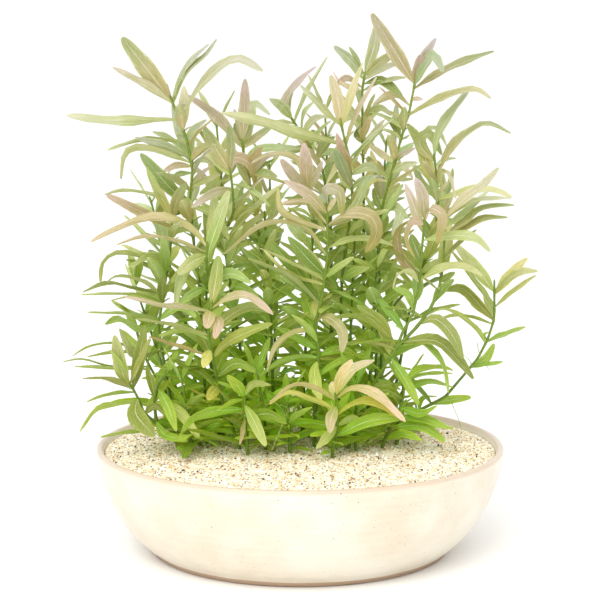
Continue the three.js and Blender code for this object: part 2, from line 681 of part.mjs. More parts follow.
// One leaf of a read shoot for each swing
function readLeaf(paths, entry, shootNumber, leafNumber) {
  const [, shown, ...numbers] = entry;
  const [column, row] = numbers;
  const path = paths.length > 1 && closer(paths[1], paths[0], column, row) ? paths[1] : paths[0];
  const base = pointOnStem(path, shareOnStem(path, column, row));
  base.addScaledVector(UP, STAGGER * scatter(leafNumber, shootNumber));
  const squares = [];
  for (let i = 2; i < numbers.length; i += 2) squares.push([numbers[i], numbers[i + 1]]);
  const [tipColumn, tipRow] = squares[squares.length - 1];
  const seen = Math.hypot(tipColumn - column, tipRow - row) * SQUARE;
  const hidden = Math.sqrt(Math.max(FULL_LEAF ** 2 - seen ** 2, 0));
  const hanging = tipRow > row + 5;
  const side = hanging || scatter(shootNumber, leafNumber) < 0 ? -1 : 1;
  const reach = side * Math.min(0.7 * hidden + 0.15 * seen, 0.85 * seen);
  return SWINGS.map(([swing, length]) => {
    const points = [base.clone()];
    squares.forEach(([c, r]) => {
      const share = Math.hypot(c - column, r - row) / Math.hypot(tipColumn - column, tipRow - row);
      points.push(place(c, r, base.y + swing * reach * Math.min(share, 1)));
    });
    if (points.length === 2) points.splice(1, 0, bowed(points[0], points[1], shootNumber + leafNumber));
    points.forEach((point) => point.lerp(base, 1 - length));
    const curve = new THREE.CatmullRomCurve3(points);
    const whole = curve.getLength();
    const width = Math.max(shown * SQUARE, SLENDERNESS * whole);
    const roll = Math.acos(Math.min((shown * SQUARE) / width, 1));
    return { curve, reference: AWAY, roll: -roll, width, stations: stationsOf(curve, shown) };
  });
}

// Where the sections of a leaf lie: more of them the more it bends
function stationsOf(curve, shown) {
  const bend = curve.getTangent(0).angleTo(curve.getTangent(1));
  if (bend > 1.2) return [0.22, 0.5, 0.78];
  return (bend < 0.8 && shown < 8) || shown < 5 ? [0.42] : [0.34, 0.7];
}

function closer(path, other, column, row) {
  const gap = (one) => {
    const share = shareOnStem(one, column, row);
    const i = Math.min(Math.floor(share), one.squares.length - 2);
    const square = one.squares[i].clone().lerp(one.squares[i + 1], share - i);
    return square.distanceTo(new THREE.Vector2(column, row));
  };
  return gap(path) < gap(other);
}

// Middle of a leaf that is read by its ends alone: it arches up a little
function bowed(base, tip, number) {
  const length = base.distanceTo(tip);
  return base.clone().lerp(tip, 0.5)
    .addScaledVector(UP, 0.06 * length * (1 + 0.5 * scatter(number, 3)))
    .add(new THREE.Vector3(0.04 * length * scatter(number, 5), 0, 0));
}

// One leaf of a filler for each swing: pairs stand crosswise, arch out and hang at the tip
function fillerLeaf(path, share, heading, shootNumber, leafNumber) {
  const base = pointOnStem(path, share * (path.points.length - 1));
  base.addScaledVector(UP, STAGGER * scatter(leafNumber, shootNumber));
  const length = FULL_LEAF * (1 - 0.35 * share ** 3) * (1 + 0.12 * scatter(shootNumber, leafNumber));
  const climb = THREE.MathUtils.degToRad(18 + 42 * share ** 2);
  return SWINGS.map(([swing, shorter]) => {
    const angle = THREE.MathUtils.degToRad(heading + 30 * (1 - swing));
    const out = new THREE.Vector3(Math.cos(angle), Math.sin(angle), 0);
    const at = (along, droop) => base.clone()
      .addScaledVector(out, shorter * length * along * Math.cos(climb))
      .addScaledVector(UP, shorter * length * (along * Math.sin(climb) - droop));
    const sag = 0.22 * (1 - share);
    const curve = new THREE.CatmullRomCurve3([at(0, 0), at(0.5, sag * 0.15), at(1, sag)]);
    const roll = 0.5 * scatter(leafNumber, shootNumber);
    return { curve, reference: UP, roll, width: 0.21 * length, stations: [0.4] };
  });
}

// A leaf with its box, for telling quickly which leaves can meet
function withBox(solid) {
  const { min, max } = solid.boundingBox();
  return { solid, box: new THREE.Box3(new THREE.Vector3(...min), new THREE.Vector3(...max)) };
}

function meets(grown, others) {
  return others.some(
    (other) => grown.box.intersectsBox(other.box) && grown.solid.intersect(other.solid).volume() > 1e-6,
  );
}

// Pot: a plain low bowl with a rounded rim and a flat foot

function potGeometry() {
  const inner = POT_RIM_RADIUS - POT_WALL;
  const profile = [
    [0, 0], [POT_FOOT_RADIUS, 0],
    [POT_FOOT_RADIUS + 18, 21], [POT_RIM_RADIUS - 3, POT_HEIGHT - 18],
    [POT_RIM_RADIUS, POT_HEIGHT - 2], [POT_RIM_RADIUS - 1.5, POT_HEIGHT], [inner + 1.5, POT_HEIGHT],
    [inner, POT_HEIGHT - 2], [POT_FOOT_RADIUS + 14, 24], [POT_FOOT_RADIUS - 3, POT_FLOOR], [0, POT_FLOOR],
  ];
  const points = profile.map(([radius, height]) => new THREE.Vector2(radius, height));
  return new THREE.LatheGeometry(points, POT_SIDES).rotateX(Math.PI / 2);
}

// Sand: fills the pot to the rim and rises gently to the middle, with a socket for each stem

function sandGeometry() {
  const wall = POT_RIM_RADIUS - POT_WALL - SAND_GAP;
  const edge = wall - 1.5;
  const profile = [
    [0, POT_FLOOR + SAND_GAP], [POT_FOOT_RADIUS - 3.6, POT_FLOOR + SAND_GAP],
    [POT_FOOT_RADIUS + 13.6, 24.4], [edge, sandHeight(edge)],
    [edge * 0.7, sandHeight(edge * 0.7)], [0, SAND_TOP],
  ];
  const points = profile.map(([radius, height]) => new THREE.Vector2(radius, height));
  return new THREE.LatheGeometry(points, POT_SIDES).rotateX(Math.PI / 2);
}

// Every shoot's stem first, so that no leaf runs through another's stem

const shoots = [];

Object.entries(SHOOTS).forEach(([name, { stem, depth, fork, leaves }], shootNumber) => {
  const main = readPath(stem, depth);
  const paths = [main];
  const stems = [rooted(main.points)];
  main.points = stems[0].points;
  if (fork) {
    const start = pointOnStem(main, shareOnStem(main, fork[0], fork[1])).y;
    paths.push(readPath(fork, [start, start + 0.3 * (depth[1] - depth[0])]));
    stems.push(branching(paths[1].points));
  }
  const leafChoices = leaves.map((entry, i) => readLeaf(paths, entry, shootNumber, i));
  shoots.push({ name, stems, leafChoices, tint: leaves[0][0] });
});

Object.entries(FILLERS).forEach(([name, { foot, top, pairs, turn }], number) => {
  const start = new THREE.Vector3(foot[0], foot[1], sandHeight(Math.hypot(foot[0], foot[1])));
  const end = new THREE.Vector3(top[0], top[1], SAND_TOP + top[2]);
  const middle = start.clone().lerp(end, 0.5);
  middle.x += 0.15 * (start.x - end.x);
  middle.y += 0.15 * (start.y - end.y);
  const path = { points: [start, middle, end] };
  const leafChoices = [];
  for (let pair = 0; pair < pairs; pair += 1) {
    const share = 0.2 + (0.78 * pair) / (pairs - 1);
    for (let side = 0; side < 2; side += 1) {
      const heading = turn + 90 * pair + 180 * side + 14 * scatter(number, pair);
      leafChoices.push(fillerLeaf(path, share, heading, number + 30, 2 * pair + side));
    }
  }
  shoots.push({ name, stems: [rooted(path.points)], leafChoices, tint: GREEN });
});

shoots.forEach((shoot) => {
  shoot.stemSolids = shoot.stems.map((stem) => withBox(stemSolid(stem)));
  shoot.placed = [];
});

const pot = potGeometry();
const bareSand = solidOf(sandGeometry());
const ground = [withBox(solidOf(pot)), withBox(bareSand)];

shoots.forEach((shoot) => {
  const others = shoots.filter((other) => other !== shoot);
  const obstacles = [...ground, ...others.flatMap((other) => [...other.stemSolids, ...other.placed])];
  shoot.leafChoices.forEach((choices) => {
    const free = choices.find((choice) => !meets(withBox(leafSolid(choice, CLEARANCE)), obstacles));
    if (free) shoot.placed.push(withBox(leafSolid(free)));
  });
});

// Scene graph

function meshOf(name, geometry, color, roughness) {
  const mesh = new THREE.Mesh(geometry, new THREE.MeshStandardMaterial({ color, roughness, metalness: 0 }));
  mesh.name = name;
  return mesh;
}

const sockets = shoots.map(({ stems }) => stemSolid(stems[0], SAND_GAP));
const sand = sockets.reduce((rest, socket) => rest.subtract(socket), bareSand);

const plant = new THREE.Group();
plant.add(meshOf('pot', pot, 0xe9e2d3, 0.35));
plant.add(meshOf('sand', geometryOf(sand), 0xdccdb0, 0.95));
shoots.forEach(({ name, stemSolids, placed, tint }) => {
  const pieces = [...stemSolids, ...placed].map(({ solid }) => solid);
  const whole = pieces.reduce((sum, piece) => sum.add(piece));
  plant.add(meshOf(name, geometryOf(whole), tint, 0.6));
});

export default plant;
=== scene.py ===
import math

import bpy
import numpy as np
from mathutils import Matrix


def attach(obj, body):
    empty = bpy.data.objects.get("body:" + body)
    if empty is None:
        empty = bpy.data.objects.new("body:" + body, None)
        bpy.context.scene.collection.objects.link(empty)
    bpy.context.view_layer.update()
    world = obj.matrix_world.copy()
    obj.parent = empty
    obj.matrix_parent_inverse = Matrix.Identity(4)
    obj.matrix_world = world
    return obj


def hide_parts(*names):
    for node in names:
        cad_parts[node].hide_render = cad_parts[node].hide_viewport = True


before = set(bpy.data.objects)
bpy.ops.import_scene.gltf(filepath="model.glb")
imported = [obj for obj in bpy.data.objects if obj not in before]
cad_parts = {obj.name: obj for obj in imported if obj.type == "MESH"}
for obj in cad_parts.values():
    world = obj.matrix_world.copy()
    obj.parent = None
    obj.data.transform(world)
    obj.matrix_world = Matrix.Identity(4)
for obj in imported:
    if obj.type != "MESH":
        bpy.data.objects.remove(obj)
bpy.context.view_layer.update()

# A potted dwarf hygrophila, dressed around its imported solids. Metres, +Z up, +Y away from the front.

# Round pot: a plain low bowl thrown in pale stoneware, glazed cream with fine iron specks and fired
# standing on its bare foot. The glaze breaks to brown where it runs thin over the rim.

POT_FACETS = 192
POT_PROFILE = [
    [0, 0], [0.0905, 0], [0.0930, 0.0006], [0.0940, 0.0030], [0.0985, 0.0062], [0.1040, 0.0115],
    [0.1120, 0.0210], [0.1190, 0.0340], [0.1240, 0.0480], [0.1262, 0.0580], [0.1268, 0.0625],
    [0.1269, 0.0645], [0.1262, 0.0655], [0.1250, 0.0659], [0.1237, 0.0655], [0.1228, 0.0645],
    [0.1220, 0.0620], [0.1180, 0.0480], [0.1080, 0.0240], [0.0990, 0.0130], [0.0910, 0.0060], [0, 0.0060],
]
GLAZE_THINS = 0.0632, 0.0662  # heights between which it thins out over the rim
GLAZE_STARTS = 0.0032, 0.0040  # heights between which it starts above the foot
GLAZE = (0.80, 0.74, 0.62)
GLAZE_SHADE = (0.71, 0.62, 0.48)
BARE_CLAY = (0.52, 0.36, 0.24)
IRON = (0.20, 0.11, 0.06)


class Wire:
    """A shader socket that can take part in sums: + - * add Math nodes to its tree."""

    def __init__(self, tree, socket=None):
        self.tree = tree
        self.socket = socket

    def node(self, kind, settings, sockets, out=0):
        """Adds a node: its settings first, a ramp's stops among them, then its sockets' values or links."""
        made = self.tree.nodes.new("ShaderNode" + kind)
        for key, value in settings.items():
            if key == "stops":
                ramp = made.color_ramp
                while len(ramp.elements) < len(value):
                    ramp.elements.new(1.0)
                for element, (position, colour) in zip(ramp.elements, value):
                    element.position = position
                    element.color = (*colour, 1.0)
            elif key == "interpolation":
                made.color_ramp.interpolation = value
            else:
                setattr(made, key, value)
        for key, value in sockets.items():
            if isinstance(value, Wire):
                self.tree.links.new(value.socket, made.inputs[key])
            else:
                made.inputs[key].default_value = value
        return Wire(self.tree, made.outputs[out])

    def math(self, operation, first, second=0.0):
        """The result of a Math node on two numbers."""
        return self.node("Math", {"operation": operation}, {0: first, 1: second})

    def __add__(self, other):
        return self.math("ADD", self, other)

    def __radd__(self, other):
        return self.math("ADD", other, self)

    def __sub__(self, other):
        return self.math("SUBTRACT", self, other)

    def __rsub__(self, other):
        return self.math("SUBTRACT", other, self)

    def __mul__(self, other):
        return self.math("MULTIPLY", self, other)

    def __rmul__(self, other):
        return self.math("MULTIPLY", other, self)

    def __abs__(self):
        return self.math("ABSOLUTE", self)

    def ramped(self, low, high):
        """0 up to the low value, 1 from the high value on, with a smooth rise between."""
        sockets = {"Value": self, "From Min": low, "From Max": high}
        return self.node("MapRange", {"interpolation_type": "SMOOTHSTEP"}, sockets)

    def mixed(self, first, second):
        """The first colour where this is 0 and the second where it is 1."""
        sides = {6: first, 7: second}
        for key, value in sides.items():
            if not isinstance(value, Wire):
                sides[key] = (*value, 1.0)
        return self.node("Mix", {"data_type": "RGBA"}, {0: self, **sides}, out=2)

    def tinted(self, other):
        """This colour times another, channel by channel."""
        return self.node("VectorMath", {"operation": "MULTIPLY"}, {0: self, 1: other})

    def part(self, axis):
        """One of the three numbers of a place."""
        return self.node("SeparateXYZ", {}, {0: self}, out=axis)

    def bump(self, strength, distance):
        """The normal of a surface that this height lifts by up to a distance."""
        return self.node("Bump", {}, {"Height": self, "Strength": strength, "Distance": distance})

    def noise(self, scale, detail=3.0, where=None):
        """Cloudy noise of a scale per metre, round 0.5."""
        where = where or self.object_place()
        return self.node("TexNoise", {}, {"Vector": where, "Scale": scale, "Detail": detail})

    def object_place(self):
        """The place on the object, in its own coordinates."""
        return self.node("TexCoord", {}, {}, out="Object")

    def painted(self, name, out="Color"):
        """What is painted on the corners under a name."""
        return self.node("Attribute", {"attribute_name": name}, {}, out=out)


def new_material(name, constants):
    """A material, its Principled shader with the constant sockets set, and a bare Wire to start from."""
    material = bpy.data.materials.new(name)
    material.use_nodes = True
    shader = material.node_tree.nodes["Principled BSDF"]
    for socket, value in constants.items():
        shader.inputs[socket].default_value = value
    return material, shader, Wire(material.node_tree)


def feed(shader, name, wire):
    """Links a wire to a socket of the shader."""
    wire.tree.links.new(wire.socket, shader.inputs[name])


def new_piece(name, points, triangles, *materials):
    """An object of the given corners and triangles, smooth shaded, at the origin."""
    mesh = bpy.data.meshes.new(name)
    mesh.from_pydata(points, [], triangles, shade_flat=False)
    for material in materials:
        mesh.materials.append(material)
    piece = bpy.data.objects.new(name, mesh)
    bpy.context.scene.collection.objects.link(piece)
    return piece


def tube_triangles(rings, sides):
    """Triangles of a closed skin: a start point, rings of corners and an end point, in that order.

    Corner k of ring r has number 1 + r * sides + k. Each square between two rings is halved, and fans
    close the ends. The rings run anticlockwise as seen from the end."""
    ring, side = np.meshgrid(np.arange(rings - 1), np.arange(sides), indexing="ij")
    here = 1 + ring * sides + side
    beside = 1 + ring * sides + (side + 1) % sides
    walls = np.stack([here, beside, beside + sides, here, beside + sides, here + sides], axis=-1)
    k = np.arange(sides)
    following = (k + 1) % sides
    last = 1 + (rings - 1) * sides
    start = np.stack([0 * k, 1 + following, 1 + k], axis=1)
    end = np.stack([0 * k + last + sides, last + k, last + following], axis=1)
    return np.concatenate([start, walls.reshape(-1, 3), end])


def rings_about_z(radius, height, angle):
    """Corners of rings about Z: corner = (radius cos angle, radius sin angle, height)."""
    return np.stack([radius * np.cos(angle), radius * np.sin(angle), height + 0 * angle], axis=-1)


def lathe(profile, facets):
    """Corners of a profile of (radius, height) turned about Z, its first and last point on the axis."""
    profile = np.array(profile, float)
    angle = np.linspace(0, 2 * math.pi, facets, endpoint=False)
    rings = rings_about_z(profile[1:-1, :1], profile[1:-1, 1:], angle)
    return np.concatenate([[[0, 0, profile[0, 1]]], rings.reshape(-1, 3), [[0, 0, profile[-1, 1]]]])


pot_points = lathe(POT_PROFILE, POT_FACETS)
pot_triangles = tube_triangles(len(POT_PROFILE) - 2, POT_FACETS)

glaze, shader, start = new_material("cream_glaze", {"Coat Weight": 0.3, "Coat Roughness": 0.12})
place = start.object_place()
height = place.part("Z")
cloud = start.noise(28, 4)
speck = start.noise(900, 1)
turning = start.node("TexWave", {"bands_direction": "Z"}, {"Vector": place, "Scale": 60, "Distortion": 1.5})
thin = (height + cloud * 0.002).ramped(*GLAZE_THINS)
foot = 1 - (height + cloud * 0.0012).ramped(*GLAZE_STARTS)
colour = cloud.ramped(0.3, 0.7).mixed(GLAZE_SHADE, GLAZE)
colour = (thin * 0.55).mixed(colour, BARE_CLAY)
colour = (speck.ramped(0.72, 0.78) * 0.75).mixed(colour, IRON)
colour = foot.mixed(colour, BARE_CLAY)
feed(shader, "Base Color", colour)
feed(shader, "Roughness", 0.28 + 0.12 * cloud + 0.45 * foot)
feed(shader, "Normal", (turning * 0.35 + cloud * 0.65).bump(0.25, 0.0012))

pot = new_piece("round_pot", pot_points, pot_triangles, glaze)
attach(pot, "root")
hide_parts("pot")

# Sand: a bed of fine washed aquarium sand poured into the pot and heaped a little in the middle. The
# bed is one lumpy body, and the top grains lie on it one by one.

SAND_TOP = 0.068
SAND_FALL = 0.006  # from the middle to the wall
SAND_EDGE = 0.1217
SAND_FLOOR = 0.0063
SAND_UNDERSIDE = [[0.0904, SAND_FLOOR], [0.1076, 0.0244], [0.1170, 0.0450]]  # radii and heights
POT_INSIDE = 0.122
SAND_RINGS = 100
SAND_SPOKES = 360
SMALLEST_RING = 0.012  # as a share of the edge
LUMP_HEIGHT = 0.0005
LUMPS_FADE = 0.012  # width of the band at the wall in which they fade
ROUGHNESS = 0.00025
ROUGH_WITHIN = 0.121  # radius
PALE_SAND = (0.96, 0.90, 0.76)
CELLS_PER_METRE = 800.0
GRAIN_SHADES = [
    (0.00, (0.90, 0.80, 0.58)), (0.28, (0.97, 0.93, 0.82)), (0.48, (0.77, 0.60, 0.36)),
    (0.61, (0.98, 0.96, 0.91)), (0.76, (0.40, 0.26, 0.13)), (0.83, (0.88, 0.72, 0.46)),
    (0.93, (0.58, 0.33, 0.14)), (0.965, (0.07, 0.05, 0.035)),
]


def sand_height(x, y):
    """Height of the sand: a mound that falls with the square of the distance from the middle."""
    share = np.minimum(np.hypot(x, y) / POT_INSIDE, 1)
    return SAND_TOP - SAND_FALL * share**2


def sand_relief(x, y):
    """Low lumps: crossed waves, 10 to 40 mm long, smoothed away at the wall."""
    lumps = 0.7 * np.sin(160 * x + 2 * np.sin(90 * y)) + 0.6 * np.sin(210 * y + 1.5 * np.sin(120 * x))
    lumps = lumps + 0.5 * np.sin(340 * x - 260 * y) + 0.3 * np.sin(520 * x + 410 * y)
    return LUMP_HEIGHT * lumps * np.clip((SAND_EDGE - np.hypot(x, y)) / LUMPS_FADE, 0, 1)


chance = np.random.default_rng(4)
radius = SAND_EDGE * np.linspace(1, SMALLEST_RING, SAND_RINGS)[:, None]
angle = np.linspace(0, 2 * math.pi, SAND_SPOKES, endpoint=False)[None, :]
x = radius * np.cos(angle)
y = radius * np.sin(angle)
rough = chance.uniform(-ROUGHNESS, ROUGHNESS, x.shape) * (radius < ROUGH_WITHIN)
top = rings_about_z(radius, sand_height(x, y) + sand_relief(x, y) + rough, angle)
under_radius, under_height = np.array(SAND_UNDERSIDE).T[..., None]
rings = np.concatenate([rings_about_z(under_radius, under_height, angle), top])
sand_points = np.concatenate([[[0, 0, SAND_FLOOR]], rings.reshape(-1, 3), [[0, 0, sand_height(0, 0)]]])

bed, shader, start = new_material("sand_bed", {})
lattice = {"Vector": start.object_place(), "Scale": CELLS_PER_METRE}
cells = start.node("TexVoronoi", {}, lattice, out="Color")
cell = start.node("SeparateColor", {}, {0: cells}, out="Red")
edge = start.node("TexVoronoi", {}, lattice, out="Distance")
drift = start.noise(45, 3)
colour = start.node("ValToRGB", {"interpolation": "CONSTANT", "stops": GRAIN_SHADES}, {0: cell})
colour = (drift.ramped(0.35, 0.7) * 0.25).mixed(colour, PALE_SAND)
feed(shader, "Base Color", colour)
feed(shader, "Roughness", 0.7 + 0.2 * cell)
feed(shader, "Normal", (1 - edge).bump(0.5, 0.0003))

sand = new_piece("sand_bed", sand_points, tube_triangles(len(rings), SAND_SPOKES), bed)
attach(sand, "root")
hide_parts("sand")

# Loose grains: the grains that lie on top of the bed one by one, rounded quartz with a few dark bits.
# Each is a bumpy twenty-sided stone in one of the bed's shades, a little sunk in.

GRAINS = 8000
GRAIN_SPREAD = 0.1195  # radius that they lie within
GRAIN_LEAST = 0.00042
GRAIN_MORE = 0.00050  # added by chance
GRAIN_RISE = 0.35  # of a grain's middle above the bed, as a share of its size
GRAIN_BUMPS = 0.7, 1.2  # ranges of chance factors
GRAIN_STRETCH = 0.7, 1.15
GRAIN_TONES = 0.88, 1.08


def grain_shape():
    """Corners and outward triangles of a twenty-sided grain of radius 1.

    The corners are (0, a, b), (a, b, 0) and (b, 0, a), with a one and b the golden ratio, either way.
    Three corners that are neighbours of one another make a triangle."""
    golden = (1 + math.sqrt(5)) / 2
    signs = [(a, b) for a in (-1, 1) for b in (-golden, golden)]
    corners = [place for a, b in signs for place in ((0, a, b), (a, b, 0), (b, 0, a))]
    corners = np.array(corners) / math.hypot(1, golden)
    reach = np.linalg.norm(corners[:, None] - corners[None], axis=2)
    near = (reach > 0) & (reach < 1.1)
    faces = np.argwhere(near[:, :, None] & near[None] & near[:, None])
    faces = faces[(np.diff(faces, axis=1) > 0).all(axis=1)]
    first, second, third = corners[faces.T]
    inward = np.sum(np.cross(second - first, third - first) * first, axis=1) <= 0
    faces[inward] = faces[inward][:, [0, 2, 1]]
    return corners, faces


corners, faces = grain_shape()
per_grain = len(corners)
distance = GRAIN_SPREAD * np.sqrt(chance.uniform(0, 1, GRAINS))
turn = chance.uniform(0, 2 * math.pi, GRAINS)
size = GRAIN_LEAST + GRAIN_MORE * chance.uniform(0, 1, GRAINS) ** 2
x = distance * np.cos(turn)
y = distance * np.sin(turn)
centre = np.stack([x, y, sand_height(x, y) + sand_relief(x, y) + GRAIN_RISE * size], axis=-1)
bumps = chance.uniform(*GRAIN_BUMPS, (GRAINS, per_grain, 1))
stretch = chance.uniform(*GRAIN_STRETCH, (GRAINS, 1, 3))
grain_points = (corners[None] * bumps * stretch * size[:, None, None] + centre[:, None]).reshape(-1, 3)
grain_triangles = (faces[None] + per_grain * np.arange(GRAINS)[:, None, None]).reshape(-1, 3)
stops = np.array([stop for stop, _ in GRAIN_SHADES])
shades = np.array([shade for _, shade in GRAIN_SHADES])
pick = np.searchsorted(stops, chance.uniform(0, 1, GRAINS), side="right") - 1
grain_shade = np.clip(shades[pick] * chance.uniform(*GRAIN_TONES, (GRAINS, 1)), 0, 1)

loose, shader, start = new_material("loose_grains", {})
shade = start.painted("tint")
mottle = start.noise(2500, 2)
feed(shader, "Base Color", (mottle * 0.5).mixed(shade, shade.tinted(shade)))
feed(shader, "Roughness", 0.45 + 0.3 * mottle)


def paint(piece, name, values):
    """A named colour for every corner of a piece."""
    values = np.concatenate([values, np.ones((len(values), 1))], axis=1)
    layer = piece.data.color_attributes.new(name, "FLOAT_COLOR", "POINT")
    layer.data.foreach_set("color", values.ravel())


grains = new_piece("sand_grains", grain_points, grain_triangles, loose)
paint(grains, "tint", np.repeat(grain_shade, per_grain, axis=0))
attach(grains, "root")

# Shoots: soft stems with crosswise pairs of lance-shaped leaves, each shoot grown as one piece from
# its root. They are read off a front view ruled in half-millimetre squares, columns from its left
# edge and rows down from its top, seen by an eye that stands a little above the pot.

SQUARE = 0.0005
MIDDLE_COLUMN = 300
GROUND_ROW = 541  # where the top of the sand shows
EYE_DISTANCE = 1.15
EYE_TILT = math.radians(8)
EYE_AIM = 0.156  # height that the eye looks at

# Leaf tints at the base and at the tip, first high in the thicket, then low in its shade
PINK = ((0.32, 0.29, 0.13), (0.47, 0.38, 0.32)), ((0.26, 0.28, 0.06), (0.45, 0.36, 0.26))
ROSE = ((0.45, 0.37, 0.27), (0.29, 0.26, 0.07)), ((0.40, 0.34, 0.19), (0.25, 0.25, 0.05))
OLIVE = ((0.35, 0.31, 0.13), (0.27, 0.32, 0.13)), ((0.17, 0.24, 0.03), (0.18, 0.25, 0.035))
TAN = ((0.36, 0.31, 0.16), (0.38, 0.35, 0.22)), ((0.27, 0.27, 0.06), (0.36, 0.33, 0.17))
BRONZE = ((0.38, 0.31, 0.18), (0.23, 0.20, 0.05)), ((0.22, 0.21, 0.05), (0.16, 0.16, 0.025))
GOLD = ((0.35, 0.35, 0.13), (0.47, 0.45, 0.27)), ((0.32, 0.36, 0.05), (0.44, 0.43, 0.11))
PALE = ((0.30, 0.35, 0.13), (0.41, 0.43, 0.27)), ((0.24, 0.33, 0.06), (0.36, 0.42, 0.15))
CREAM = ((0.44, 0.39, 0.19), (0.56, 0.49, 0.38)), ((0.34, 0.33, 0.10), (0.48, 0.41, 0.31))
GREEN = ((0.25, 0.31, 0.10), (0.35, 0.38, 0.19)), ((0.15, 0.31, 0.012), (0.24, 0.38, 0.035))
DEEP = ((0.15, 0.20, 0.045), (0.21, 0.26, 0.09)), ((0.11, 0.20, 0.008), (0.16, 0.25, 0.015))

# Each shoot has a stem from the sand to its bud and the depths in millimetres at which the stem starts
# and ends, negative towards the front. A forked shoot has a side branch as well. A leaf is a tint, the
# width it shows, and its midrib from the stem to the tip, in columns and rows.

